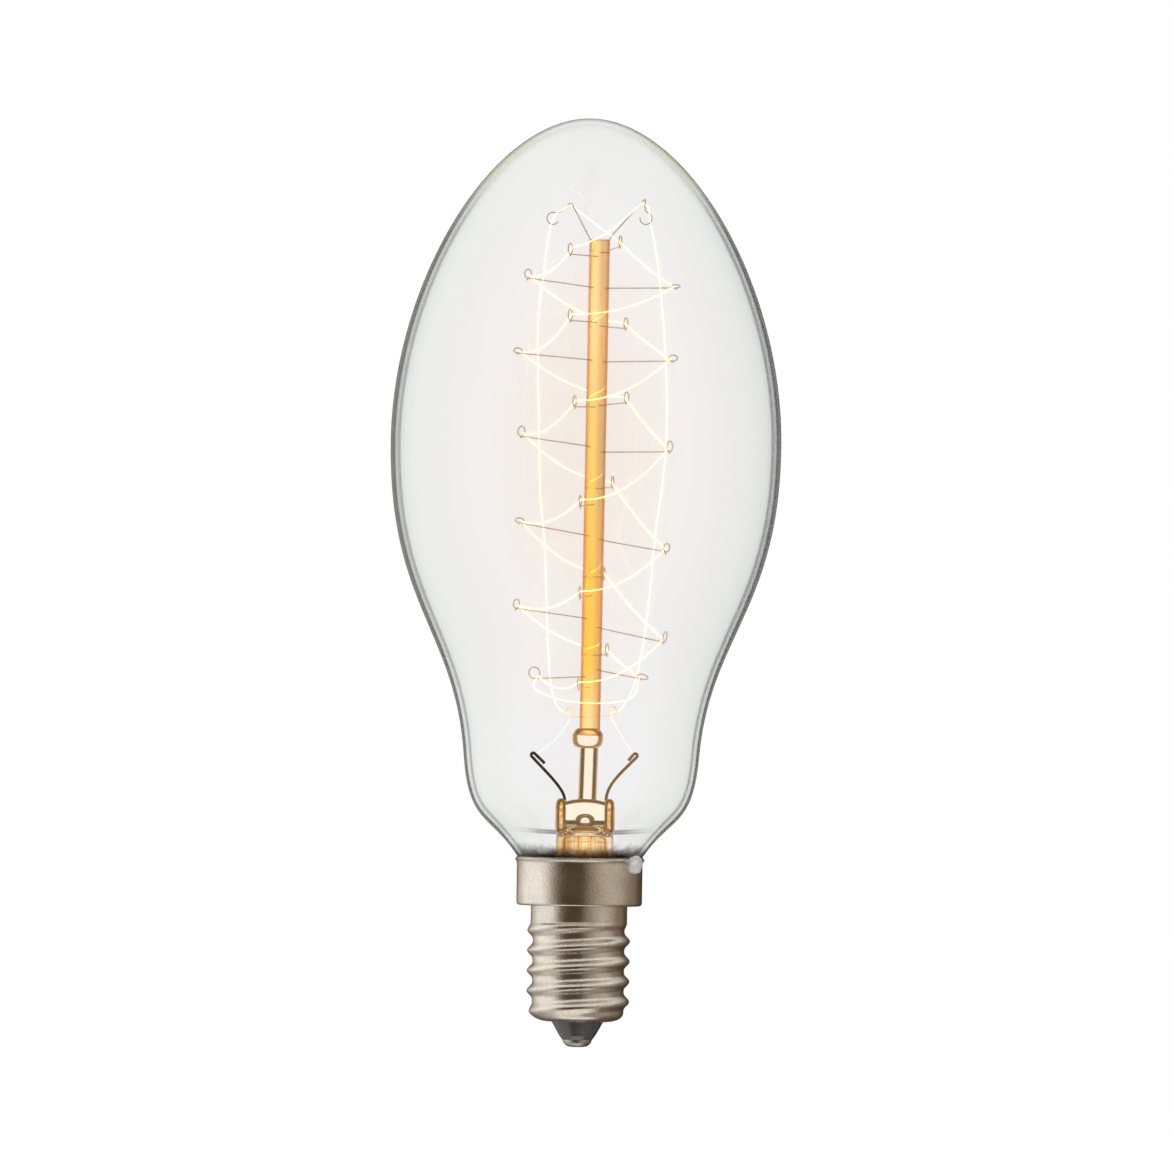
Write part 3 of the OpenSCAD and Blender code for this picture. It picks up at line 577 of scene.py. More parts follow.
def hook_material():
    """Drawn wire, grey at the top of the cage and browner and lit by the filament towards its foot."""
    drawn = tuple(bpy.context.scene.lamp_colours.hook)
    material, tree, shader = new_material("hook_wire")
    fine = grain(tree, 9000.0)
    up = share_between(tree, lamp_place(tree)[3], 45 * MM, 120 * MM)
    body = ramp(tree, up, (*HOOK_FOOT, (0.75, drawn), (1.0, drawn)))
    inputs = {
        "Base Color": mix_colour(tree, times(tree, fine["Clouds"], 0.4), body, (0.06, 0.04, 0.03)),
        "Metallic": 1.0,
        "Roughness": 0.35,
        "Emission Color": ramp(tree, up, HOOK_GLOW),
        "Emission Strength": 1.0,
        "Normal": bump(tree, fine["Height"], 0.02 * MM),
    }
    feed(tree, shader, inputs)
    return material


def metal_material(name, tint, roughness, scale, speckle, relief, metallic=1.0):
    """Metal with fine grain in its colour, gloss and surface."""
    material, tree, shader = new_material(name)
    fine = grain(tree, scale)
    dark = [level * (1.0 - speckle) for level in tint]
    light = [min(1.0, level * (1.0 + 0.6 * speckle)) for level in tint]
    body = mix_colour(tree, fine["Clouds"], dark, tint)
    gloss = {"Value": fine["Clouds"], "To Min": roughness * 0.85, "To Max": roughness * 1.15}
    inputs = {
        "Base Color": mix_colour(tree, times(tree, fine["Speckle"], 0.6), body, light),
        "Metallic": metallic,
        "Roughness": node(tree, "ShaderNodeMapRange", gloss).outputs["Result"],
        "Normal": bump(tree, fine["Height"], relief),
    }
    feed(tree, shader, inputs)
    return material


def dull_material(name, dark, light, roughness, scale, relief, ior=1.5):
    """A matt or glazed finish mottled between two colours."""
    material, tree, shader = new_material(name)
    fine = grain(tree, scale)
    inputs = {
        "Base Color": mix_colour(tree, fine["Clouds"], dark, light),
        "Roughness": roughness,
        "IOR": ior,
        "Normal": bump(tree, fine["Height"], relief),
    }
    feed(tree, shader, inputs)
    return material


def mm(*values):
    """A point given in millimetres."""
    return Vector(values) * MM


def stretch(a, b, c, d, steps):
    """Points along a cubic curve, without its last one."""
    points = []
    for i in range(steps):
        t = i / steps
        points.append((1 - t) ** 3 * a + 3 * (1 - t) ** 2 * t * b + 3 * (1 - t) * t * t * c + t**3 * d)
    return points


def bend(steps, *corners):
    """As stretch, with its four corners in millimetres."""
    return stretch(*(mm(*corner) for corner in corners), steps)


def moved_in(outline, thickness):
    """An outline moved square to itself, to the left of its heading."""
    moved = []
    for i, point in enumerate(outline):
        before, after = outline[max(i - 1, 0)], outline[min(i + 1, len(outline) - 1)]
        heading = (after - before).normalized()
        moved.append(point + thickness * Vector((heading.y, -heading.x)))
    return moved


def add_object(name, data):
    """An object in the scene that holds some data."""
    made = bpy.data.objects.new(name, data)
    bpy.context.scene.collection.objects.link(made)
    return made


def new_piece(name, vertices, faces, material):
    """A smooth mesh object at the origin, with its place in its mesh."""
    mesh = bpy.data.meshes.new(name)
    mesh.from_pydata(vertices, [], faces)
    mesh.validate()
    mesh.materials.append(material)
    smooth(mesh)
    return add_object(name, mesh)


def smooth(mesh):
    """Shades a mesh smooth, with its sharp edges kept."""
    mesh.shade_smooth()
    mesh.set_sharp_from_angle(angle=math.radians(40))


def faces_between(rings):
    """Faces that join each ring of vertices to the next. Corners that share a vertex count once."""
    faces = []
    for low, high in zip(rings, rings[1:]):
        for k in range(len(low)):
            j = (k + 1) % len(low)
            corners = list(dict.fromkeys((low[k], low[j], high[j], high[k])))
            if len(corners) > 2:
                faces.append(corners)
    return faces


def revolve(name, outline, segments, material, place=Matrix()):
    """Turns an outline of (radius, height) points round the Z axis. Ends on the axis become poles."""
    on_axis = 1e-7
    vertices, rings = [], []
    for radius, height in outline:
        if radius < on_axis:
            rings.append([len(vertices)] * segments)
            vertices.append(Vector((0, 0, height)))
            continue
        rings.append(range(len(vertices), len(vertices) + segments))
        for k in range(segments):
            turn = math.tau * k / segments
            vertices.append(Vector((radius * math.cos(turn), radius * math.sin(turn), height)))
    if outline[0][0] > on_axis:
        rings.append(rings[0])
    piece = new_piece(name, [place @ vertex for vertex in vertices], faces_between(rings), material)
    turn_outwards(piece)
    return piece


def turn_outwards(piece):
    """Flips a closed mesh whose faces point inwards."""
    mesh = piece.data
    mesh.calc_loop_triangles()
    volume = 0.0
    for triangle in mesh.loop_triangles:
        a, b, c = (mesh.vertices[i].co for i in triangle.vertices)
        volume += a.dot(b.cross(c))
    if volume < 0:
        mesh.flip_normals()


def stand_in(piece, slot, *nodes):
    """The piece rides on the lamp and takes the place of CAD nodes."""
    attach(piece, BODY)
    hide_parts(*nodes)


def dress(material, *names):
    """Gives CAD nodes a material."""
    for name in names:
        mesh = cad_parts[name].data
        mesh.materials.clear()
        mesh.materials.append(material)


def leaning(x0, z0, x1, z1):
    """The place of a piece that stands on a leaning axis between two heights."""
    lean = math.atan2(x1 - x0, z1 - z0)
    return Matrix.Translation((x0, 0, z0)) @ Matrix.Rotation(lean, 4, "Y")


class LAMP_OT_stage(bpy.types.Operator):
    """Sets the camera, the soft light, the white surroundings and the floor"""

    bl_idname = "lamp.stage"
    bl_label = "Stage"

    def execute(self, context):
        place_camera(context.scene)
        light_world(context.scene)
        soft_light("key_light", mm(-420, -620, 520), 0.5, 5.0)
        soft_light("fill_light", mm(620, -420, 260), 0.6, 3.0)
        soft_light("back_light", mm(150, 700, 420), 0.5, 3.0)
        lay_floor(context.scene.lamp_studio.floor_z)
        context.scene.view_settings.view_transform = "Standard"
        return {"FINISHED"}


def place_camera(scene):
    """Puts a long lens square to the lamp."""
    studio = scene.lamp_studio
    data = bpy.data.cameras.new("camera")
    data.type = "PERSP"
    data.lens = studio.lens
    data.sensor_width = 36.0
    away = studio.frame_width * data.lens / data.sensor_width
    data.clip_start = away / 20
    data.clip_end = away * 20
    camera = add_object("camera", data)
    c, s = math.cos(studio.roll), math.sin(studio.roll)
    turned = Matrix(((c, -s, 0), (0, 0, -1), (s, c, 0))).to_4x4()
    camera.matrix_world = Matrix.Translation((studio.middle_x, -away, studio.middle_z)) @ turned
    scene.camera = camera
    # Light crosses many walls of glass one behind another
    scene.cycles.max_bounces = 24
    scene.cycles.transmission_bounces = 24


def light_world(scene):
    """White surroundings, in which metal sees a dark front and two bright sides."""
    world = bpy.data.worlds.new("studio")
    world.use_nodes = True
    scene.world = world
    tree = world.node_tree
    tree.nodes.clear()
    heading = node(tree, "ShaderNodeTexCoord").outputs["Generated"]
    x, y, z = node(tree, "ShaderNodeSeparateXYZ", {0: heading}).outputs
    bearing = maths(tree, "ARCTAN2", x, times(tree, y, -1.0))
    turn = maths(tree, "MULTIPLY_ADD", bearing, 1 / math.tau, 0.5)
    # The darker parts are the warmer ones
    stops = [((degrees + 180) / 360, (c, c**1.15, c**1.32)) for degrees, c in GLOSS_LEVELS]
    mirrored = ramp(tree, turn, stops)
    for start, full, strength, shade in GLOSS_BANDS:
        band = times(tree, smooth_step(tree, z, start, full), strength)
        mirrored = mix_colour(tree, band, mirrored, shade)
    path = node(tree, "ShaderNodeLightPath").outputs
    bounced = maths(tree, "SUBTRACT", path["Is Glossy Ray"], path["Is Transmission Ray"])
    seen = mix_colour(tree, maths(tree, "MAXIMUM", bounced, 0.0), WHITE, mirrored)
    back = node(tree, "ShaderNodeBackground", {"Color": seen, "Strength": 1.0})
    node(tree, "ShaderNodeOutputWorld", {"Surface": back.outputs[0]})


def keep_out_of_reflections(thing):
    """Glass and metal don't show the thing."""
    thing.visible_glossy = False
    thing.visible_transmission = False


def soft_light(name, place, size, power):
    """A square soft light that looks at the lamp's middle and stays out of reflections."""
    data = bpy.data.lights.new(name, "AREA")
    data.size = size
    data.energy = power
    light = add_object(name, data)
    light.location = place
    light.rotation_euler = (Vector((0, 0, LAMP_TOP / 2)) - place).to_track_quat("-Z", "Y").to_euler()
    keep_out_of_reflections(light)


def lay_floor(height):
    """A pale floor that keeps a faint shadow."""
    half, shine = 3.0, 0.8
    corners = [(-half, -half, height), (half, -half, height), (half, half, height), (-half, half, height)]
    material, tree, shader = new_material("floor")
    feed(tree, shader, {"Base Color": WHITE, "Roughness": 0.9, "Specular IOR Level": 0.0})
    seen = node(tree, "ShaderNodeLightPath").outputs["Is Camera Ray"]
    glow = node(tree, "ShaderNodeEmission", {"Color": WHITE, "Strength": 1.0})
    mix_surface(tree, times(tree, seen, shine), shader, glow)
    floor = new_piece("floor", corners, [(0, 1, 2, 3)], material)
    keep_out_of_reflections(floor)


class LAMP_OT_bulb(bpy.types.Operator):
    """Blows the clear bulb as one smooth double wall"""

    bl_idname = "lamp.bulb"
    bl_label = "Bulb"

    def execute(self, context):
        sizes = context.scene.lamp_bulb
        outside = bulb_outline(sizes)
        inside = moved_in(outside, sizes.wall)
        inside[0] = outside[0] - Vector((0, sizes.wall))
        bulb = revolve("glass_bulb_wall", outside + inside[::-1], sizes.segments, bulb_material())
        stand_in(bulb, "bulb_glass", "glass_bulb")
        return {"FINISHED"}


def bulb_outline(sizes):
    """The bulb's outer outline, from the crown down to the neck's foot."""
    crown = Vector((0, LAMP_TOP))
    equator = Vector((BULB_R, sizes.equator_z))
    waist = Vector((sizes.waist_r, sizes.waist_z))
    throat = mm(8.66, 26.5)
    neck = Vector((sizes.neck_r, 24.8 * MM))
    steps = 48
    return (
        stretch(crown, crown + mm(13.6, 0), equator + mm(0, 22.6), equator, steps)
        + stretch(equator, equator - mm(0, 22.9), waist + mm(1.35, 17.1), waist, steps)
        + stretch(waist, waist - mm(0.8, 10), throat + mm(4.2, 6.2), throat, steps)
        + stretch(throat, throat - mm(0.8, 1), neck + mm(0, 0.8), neck, 12)
        + [neck, Vector((sizes.neck_r, sizes.neck_foot_z))]
    )


class LAMP_OT_stem(bpy.types.Operator):
    """Draws the flare tube, the press, the exhaust tube and the canes"""

    bl_idname = "lamp.stem"
    bl_label = "Stem"

    def execute(self, context):
        sizes = context.scene.lamp_stem
        lit = stem_material("flare_glass", FLARE_EDGE_SHADE, 0.04)
        make_flare(sizes, lit)
        make_press(sizes, stem_material("press_glass", STEM_EDGE_SHADE, 0.13, mottled=True))
        make_exhaust_tube(sizes, lit)
        make_canes(sizes, stem_material("cane_glass", STEM_EDGE_SHADE, 0.11), rod_material())
        make_bead(sizes, stem_material("bead_glass", BEAD_EDGE_SHADE, 0.1))
        return {"FINISHED"}


def make_flare(sizes, glass):
    """The trumpet-ended tube, whose rim is fused to the neck."""
    bulb = bpy.context.scene.lamp_bulb
    r, foot, rim = sizes.flare_r / MM, bulb.neck_foot_z / MM, (bulb.neck_r - sizes.shift) / MM
    bore, lip, fused = r - sizes.flare_wall / MM, rim - 0.55, rim - 0.02
    outline = bend(16, (3.0, 31.1), (3.7, 31), (r, 30.2), (r, 28.8))
    outline += bend(16, (r, 28.8), (r, 26), (r + 0.5, 23.4), (lip, foot))
    outline += [mm(lip, foot), mm(fused, foot), mm(fused, foot - 0.7)]
    outline += bend(16, (lip, foot - 0.9), (r - 0.2, 23), (bore, 25), (bore, 28.4))
    outline += bend(10, (bore, 28.4), (bore, 29.6), (3.0, 30.2), (2.2, 30.2))
    outline += [mm(2.2, 30.2), mm(2.2, 31.1)]
    flare = revolve("flare_tube_wall", outline, 96, glass, Matrix.Translation((sizes.shift, 0, 0)))
    stand_in(flare, "stem_glass", "flare_tube")


def make_press(sizes, glass):
    """The flattened end of the flare tube: a thin web between two fuller lobes, melted into one."""
    web = press_web(sizes, glass)
    foot, top = sizes.press_foot_z / MM - 0.9, sizes.press_top_z / MM + 0.05
    rx, ry = 0.85, sizes.press_t / MM / 2
    outline = bend(14, (0, foot), (0.9 * ry, foot), (ry, foot + 0.5), (ry, foot + 1.6))
    outline += bend(18, (ry, foot + 1.6), (ry, top - 0.5), (0.95 * ry, top), (0, top)) + [mm(0, top)]
    lobes = []
    for side in (-1, 1):
        middle = sizes.shift + side * (sizes.press_w / 2 - rx * MM)
        place = Matrix.Translation((middle, 0, 0)) @ Matrix.Diagonal((rx / ry, 1, 1, 1))
        lobes.append(revolve("lobe", outline, 48, glass, place))
    melt_together(web, lobes)
    stand_in(web, "stem_glass", "stem_press")


def press_web(sizes, glass):
    """The web of the press, dished at the front where the exhaust tube's hole was."""
    low, high, half, depth = sizes.press_foot_z + 0.1 * MM, sizes.press_top_z, 3.3 * MM, 0.95 * MM
    dish_z, dish_half_width, dish_half_height = 31.75 * MM, 1.05 * MM, 0.55 * MM
    droop, dish_depth, least = 0.6 * MM, 0.6 * MM, 0.01 * MM
    across, levels = 66, 60
    around = 2 * across
    vertices = []
    for level in range(levels + 1):
        share = 0.5 - 0.5 * math.cos(math.pi * level / levels)
        for k in range(around):
            front = k < across
            x = half * (2 * (k if front else around - 1 - k) / (across - 1) - 1)
            top = high - droop * (x / half) ** 2
            z = low + (top - low) * share
            edge = min(z - low, top - z, depth)
            y = math.sqrt(max(0.0, depth**2 - (depth - edge) ** 2)) + least
            if front:
                r2 = (x / dish_half_width) ** 2 + ((z - dish_z) / dish_half_height) ** 2
                y -= dish_depth * math.exp(-(r2**2))
            vertices.append(Vector((x + sizes.shift, -y if front else y, z)))
    faces = faces_between([range(level * around, (level + 1) * around) for level in range(levels + 1)])
    for start in (0, levels * around):
        for k in range(across - 1):
            far = start + around - 1 - k
            faces.append((start + k, start + k + 1, far - 1, far))
    web = new_piece("stem_press_glass", vertices, faces, glass)
    tidy_faces(web)
    return web


def tidy_faces(piece):
    """Makes all faces of a closed mesh point outwards."""
    mesh = bmesh.new()
    mesh.from_mesh(piece.data)
    bmesh.ops.recalc_face_normals(mesh, faces=mesh.faces)
    mesh.to_mesh(piece.data)
    mesh.free()
    turn_outwards(piece)


def melt_together(piece, others):
    """Joins closed pieces into one skin, and removes the others."""
    for other in others:
        joint = piece.modifiers.new("melt", "BOOLEAN")
        joint.operation = "UNION"
        joint.solver = "EXACT"
        joint.object = other
    bake_modifiers(piece)
    for other in others:
        bpy.data.objects.remove(other)


def make_exhaust_tube(sizes, glass):
    """The narrow tube inside the flare, sealed off at its foot."""
    r, bore, tip, top = 1.5, 0.85, 9.0, sizes.press_foot_z / MM + 0.1
    outline = bend(12, (0, tip), (0.9, tip), (r, tip + 1.4), (r, tip + 3.2))
    outline += [mm(r, tip + 3.2), mm(r, top), mm(bore, top), mm(bore, tip + 3.4)]
    outline += bend(8, (bore, tip + 3.4), (bore, tip + 2.4), (0.4, tip + 1.5), (0, tip + 1.5))
    outline += [mm(0, tip + 1.5)]
    tube = revolve("exhaust_tube_wall", outline, 64, glass, Matrix.Translation((sizes.shift, 0, 0)))
    stand_in(tube, "stem_glass", "exhaust_tube")


def make_canes(sizes, clear, amber):
    """The plain cane, which ends in the bead, and the rod that holds the hooks."""
    foot_x, joint_x, sunk = 0.92 * MM, ROD_FOOT_X * MM, 0.15 * MM
    lower = leaning(foot_x, sizes.press_top_z - sunk, joint_x, sizes.joint_z)
    plain = rod_outline(sizes.cane_r, 42.0 * MM - sizes.press_top_z + sunk)
    stand_in(revolve("stem_cane_glass", plain, 64, clear, lower), "stem_glass", "stem_cane")
    upper = leaning(joint_x, sizes.joint_z, ROD_TOP_X * MM, sizes.rod_top_z)
    rod = rod_outline(sizes.rod_r, sizes.rod_top_z - sizes.joint_z)
    stand_in(revolve("hook_cane_glass", rod, 96, amber, upper), "amber_cane", "hook_cane")


def rod_outline(radius, long):
    """A plain rod with softened ends."""
    soft = 0.12 * MM
    outline = [Vector((0, 0)), Vector((radius - soft, 0))]
    outline += [Vector((radius, soft + (long - 2 * soft) * i / 40)) for i in range(41)]
    return outline + [Vector((radius - soft, long)), Vector((0, long))]


def make_bead(sizes, glass):
    """The bead where the two canes were melted together, as a ring round them."""
    foot, top, fat = 41.9, 44.7, 2.2
    joint, cane, rod = sizes.joint_z / MM, sizes.cane_r / MM, sizes.rod_r / MM
    outline = [mm(0, foot)]
    outline += bend(14, (cane, foot), (fat - 0.3, foot + 0.1), (fat, foot + 0.6), (fat, joint - 0.2))
    outline += bend(14, (fat, joint - 0.2), (fat, joint + 0.5), (rod + 0.35, top - 0.2), (rod, top))
    outline += [mm(rod, top), mm(0, top)]
    place = Matrix.Translation((0.85 * MM, 0, 0))
    stand_in(revolve("cane_joint_glass", outline, 72, glass, place), "stem_glass", "cane_joint")


class LAMP_OT_wires(bpy.types.Operator):
    """Finishes the hooks, the lead wires and the seals"""

    bl_idname = "lamp.wires"
    bl_label = "Wires"

    def execute(self, context):
        hooks = ("left_hooks", "right_hooks", "front_hooks", "back_hooks", "crown_hooks", "guide_hooks")
        dress(hook_material(), *hooks)
        fine, relief = 7000.0, 0.02 * MM
        dark = metal_material("lead_dark", (0.03, 0.026, 0.02), 0.35, fine, 0.3, relief)
        brown = metal_material("lead_brown", (0.3, 0.17, 0.055), 0.3, fine, 0.3, relief)
        copper = metal_material("lead_copper", (0.62, 0.3, 0.14), 0.35, fine, 0.25, relief)
        dress(dark, "inner_lead_left")
        dress(brown, "inner_lead_right")
        dress(copper, "seal_wire_left", "seal_wire_right", "centre_lead", "side_lead")
        return {"FINISHED"}


class LAMP_OT_filament(bpy.types.Operator):
    """Winds the fine coil along the filament's path"""

    bl_idname = "lamp.filament"
    bl_label = "Filament"

    def execute(self, context):
        sizes = context.scene.lamp_filament
        values = {
            "Coil Radius": sizes.coil_r,
            "Wire Radius": sizes.wire_r,
            "Pitch": sizes.pitch,
            "Steps": sizes.steps,
            "Start": 0.0,
            "Material": hot_material(),
        }
        tree = coil_tree(values)
        route = filament_route()
        share = math.ceil((len(route) - 1) / sizes.sections)
        for k in range(sizes.sections):
            section = route[k * share : (k + 1) * share + 1]
            piece = apply_tree(route_curve("filament_coil_%d" % (k + 1), section), tree, values)
            stand_in(piece, "filament_coil", "filament")
            values["Start"] += sum((b - a).length for a, b in zip(section, section[1:]))
        return {"FINISHED"}


def eye_rest(row, i):
    """Where the filament lies in an eye, as a point in millimetres."""
    slope = math.atan2(row["rise"][i], row["reach"][i])
    eye = EYE_R * row["size"][i]
    rest = eye - HOOK_WIRE_R - STRAND_R
    under, lean, turn = (math.radians(a) for a in (row["under"], row["lean"][i], row["turn"][i]))
    height = eye - rest * math.sin(under)
    back = rest * math.cos(under)
    over = height * math.sin(lean)
    out = row["reach"][i] - back * math.cos(turn) + over * math.sin(turn)
    aside = -back * math.sin(turn) - over * math.cos(turn)
    up = height * math.cos(lean)
    away = out * math.cos(slope) - up * math.sin(slope)
    bearing = math.radians(row["bearing"][i])
    z = row["z"][i]
    rod_x = ROD_FOOT_X + (ROD_TOP_X - ROD_FOOT_X) * (z - ROD_FOOT_Z) / ROD_HEIGHT
    return Vector(
        (
            rod_x + away * math.cos(bearing) - aside * math.sin(bearing),
            away * math.sin(bearing) + aside * math.cos(bearing),
            z + out * math.sin(slope) + up * math.cos(slope),
        )
    )


def cage_turns(first_row):
    """One helix down the cage, from eye to eye, each strand sagging by its row's share of the drop."""
    strands, steps, least_drop, bunching = 11, 16, 4.0, 0.6
    points = []
    for k in range(strands):
        row = ROWS[(first_row + k) % 4]
        start, end = eye_rest(row, k // 2), eye_rest(ROWS[(first_row + k + 1) % 4], (k + 1) // 2)
        sag = row["sag"] * max(least_drop, start.z - end.z)
        for step in range(steps):
            t = step / steps
            t += bunching * t * (1 - t) * (2 * t - 1)
            points.append(start.lerp(end, t) - Vector((0, 0, 4 * sag * t * (1 - t))))
    return points + [eye_rest(ROWS[(first_row + strands) % 4], 5)]


def loose_strand(points):
    """A smooth strand through points, which meets each with the heading of its neighbours."""
    points = [Vector(point) for point in points]
    last, made = len(points) - 1, []
    for i in range(last):
        before, after = points[max(i - 1, 0)], points[min(i + 2, last)]
        leave = (points[i + 1] - before) / (1 if i == 0 else 2)
        meet = (after - points[i]) / (1 if i == last - 1 else 2)
        made += stretch(points[i], points[i] + leave / 3, points[i + 1] - meet / 3, points[i + 1], 10)
    return made + [points[last]]


def filament_route():
    """The whole path of the filament in metres, from the left lead's crimp to the right one's."""
    first, second = cage_turns(1), cage_turns(3)
    route = loose_strand(LEFT_RETURN)
    route += loose_strand([(-2.6, 1.1, 117.8), (1.2, 3.8, 115), first[0] - Vector((1, -0.2, -0.7))])
    route += first
    route += loose_strand([first[-1], *FOOT_LINK, second[-1]])[1:-1]
    route += second[::-1]
    route += loose_strand([second[0] + Vector((2, -0.3, 0.6)), (3.0, -4.9, 114.2), (7.4, -1.1, 118.2)])
    route += loose_strand(RIGHT_RETURN)
    return [point * MM for point in route]


def route_curve(name, points):
    """A plain curve through points."""
    data = bpy.data.curves.new(name, "CURVE")
    data.dimensions = "3D"
    spline = data.splines.new("POLY")
    spline.points.add(len(points) - 1)
    for target, point in zip(spline.points, points):
        target.co = (*point, 1.0)
    return add_object(name, data)


def begin_tree(name, labels):
    """A tree that takes a shape and named values and gives a shape, and what it is given."""
    tree = bpy.data.node_groups.new(name, "GeometryNodeTree")
    kinds = {"Geometry": "NodeSocketGeometry", "Steps": "NodeSocketInt", "Material": "NodeSocketMaterial"}
    for label in ("Geometry", *labels):
        kind = kinds.get(label, "NodeSocketFloat")
        tree.interface.new_socket(label, in_out="INPUT", socket_type=kind)
    tree.interface.new_socket("Geometry", in_out="OUTPUT", socket_type=kinds["Geometry"])
    return tree, tree.nodes.new("NodeGroupInput").outputs


def end_tree(tree, shape, material):
    """Gives out a tree's shape as real geometry with its material."""
    real = node(tree, "GeometryNodeRealizeInstances", {"Geometry": shape})
    coated = node(tree, "GeometryNodeSetMaterial", {"Geometry": real.outputs[0], "Material": material})
    node(tree, "NodeGroupOutput", {0: coated.outputs[0]})


def coil_tree(labels):
    """A node tree that winds a fine wire round a curve."""
    tree, given = begin_tree("Wound coil", labels)
    stride = maths(tree, "DIVIDE", given["Pitch"], given["Steps"])
    inputs = {"Curve": given["Geometry"], "Length": stride}
    fine = node(tree, "GeometryNodeResampleCurve", inputs, mode="LENGTH")
    so_far = node(tree, "GeometryNodeSplineParameter").outputs["Length"]
    turns = maths(tree, "DIVIDE", maths(tree, "ADD", so_far, given["Start"]), given["Pitch"])
    across = node(tree, "GeometryNodeInputNormal").outputs[0]
    ahead = node(tree, "GeometryNodeInputTangent").outputs[0]
    inputs = {"Vector": across, "Axis": ahead, "Angle": times(tree, turns, math.tau)}
    round_it = node(tree, "ShaderNodeVectorRotate", inputs, rotation_type="AXIS_ANGLE").outputs[0]
    radius = maths(tree, "SUBTRACT", given["Coil Radius"], given["Wire Radius"])
    wound = pushed(tree, fine.outputs[0], round_it, radius)
    inputs = {"Resolution": 4, "Radius": given["Wire Radius"]}
    ring = node(tree, "GeometryNodeCurvePrimitiveCircle", inputs)
    inputs = {"Curve": wound, "Profile Curve": ring.outputs[0], "Fill Caps": True}
    wire = node(tree, "GeometryNodeCurveToMesh", inputs)
    end_tree(tree, wire.outputs[0], given["Material"])
    return tree


def pushed(tree, shape, heading, distance):
    """A shape whose points are moved some distance along a heading."""
    inputs = {0: heading, "Scale": distance}
    offset = node(tree, "ShaderNodeVectorMath", inputs, operation="SCALE").outputs["Vector"]
    return node(tree, "GeometryNodeSetPosition", {"Geometry": shape, "Offset": offset}).outputs[0]


class LAMP_OT_cap(bpy.types.Operator):
    """Rolls the nickel cap and finishes the insulator, the contact, the solder and the cement"""

    bl_idname = "lamp.cap"
    bl_label = "Cap"

    def execute(self, context):
        sizes, colours = context.scene.lamp_cap, context.scene.lamp_colours
        nickel = metal_material("cap_nickel", colours.nickel, 0.22, 3600.0, 0.2, 0.05 * MM)
        shell = revolve("screw_shell_skin", shell_outline(sizes), sizes.segments, nickel)
        stand_in(roll_thread(shell, sizes, nickel), "cap_nickel", "screw_shell")
        lumps, frost = 2600.0, 0.12 * MM
        frosted = metal_material("solder_drop", (0.6, 0.6, 0.59), 0.35, lumps, 0.25, frost, metallic=0.5)
        place = Matrix.Translation(mm(7.6, -4.3, 25.7)) @ Matrix.Rotation(math.radians(-30), 4, "Z")
        drop = lumpy_drop("side_solder_drop", place, mm(0.9, 1.9, 1.25), frosted)
        stand_in(drop, "solder", "side_solder")
        solder = metal_material("solder", (0.55, 0.54, 0.52), 0.28, lumps, 0.3, frost)
        brass = metal_material("contact_brass", (0.7, 0.52, 0.24), 0.3, 3000.0, 0.2, 0.02 * MM)
        dark, light = (0.012, 0.012, 0.012), (0.03, 0.03, 0.03)
        black = dull_material("black_glass", dark, light, 0.12, 900.0, 0.01 * MM, ior=2.0)
        dark, light = (0.25, 0.2, 0.14), (0.42, 0.36, 0.28)
        cement = dull_material("cement", dark, light, 0.9, 2500.0, 0.1 * MM)
        dress(black, "insulator")
        dress(brass, "centre_eyelet")
        dress(solder, "centre_solder")
        dress(cement, "basing_cement")
        return {"FINISHED"}


def lumpy_drop(name, place, half, material):
    """A drop of solder that froze on the metal: a flattened ball with an uneven skin."""
    rows, around, shift = 26, 40, Vector((4.1, 0.7, 2.3))
    vertices, rings = [], []
    for i in range(rows + 1):
        tilt = math.pi * i / rows
        points = around if 0 < i < rows else 1
        rings.append([len(vertices) + k % points for k in range(around)])
        for k in range(points):
            spin = math.tau * k / around
            out = math.sin(tilt)
            way = Vector((out * math.cos(spin), out * math.sin(spin), math.cos(tilt)))
            lumps = 1 + 0.22 * noise.noise(way * 1.3 + shift) + 0.07 * noise.noise(way * 4.5)
            vertices.append(place @ (half * way * lumps))
    drop = new_piece(name, vertices, faces_between(rings), material)
    turn_outwards(drop)
    return drop


def shell_outline(sizes):
    """The cut through the cap's sheet, from the foot's lip up the outside and down the inside."""
    root, barrel, collar = sizes.root_r / MM, sizes.barrel_r / MM, sizes.collar_r / MM
    seat, rim, foot, lip = sizes.seat_z / MM, CAP_RIM.z / MM - 0.12, 3.85, 3.95
    low, high, swell, threaded = 4.85, 17.6, 16.4, 150
    outside = bend(14, (lip, foot), (5.0, foot), (root - 0.1, foot + 0.3), (root, low))
    for i in range(threaded):
        z = low + (high - low) * i / threaded
        t = min(1.0, max(0.0, z - swell))
        outside.append(mm(root + (barrel - root) * t * t * (3 - 2 * t), z))
    outside += [mm(barrel, high + (seat - high - 0.15) * i / 6) for i in range(7)]
    outside += bend(5, (barrel, seat - 0.15), (barrel, seat), (barrel, seat), (barrel + 0.15, seat))
    outside += [mm(barrel + 0.15, seat), mm(collar - 0.4, seat)]
    outside += bend(8, (collar - 0.35, seat), (collar, seat), (collar, seat), (collar, seat + 0.35))
    outside += [mm(collar, seat + 0.35 + (5.3 - 0.35) * i / 12) for i in range(13)]
    outside += bend(8, (collar, 25.5), (collar + 0.02, 26.0), (collar + 0.2, 26.3), (collar + 0.45, rim))
    inside = moved_in(outside, sizes.sheet)
    inside[0] = mm(lip, foot + 0.3)
    return outside + [mm(collar + 0.45, rim), mm(collar + 0.3, rim + 0.12)] + inside[::-1]


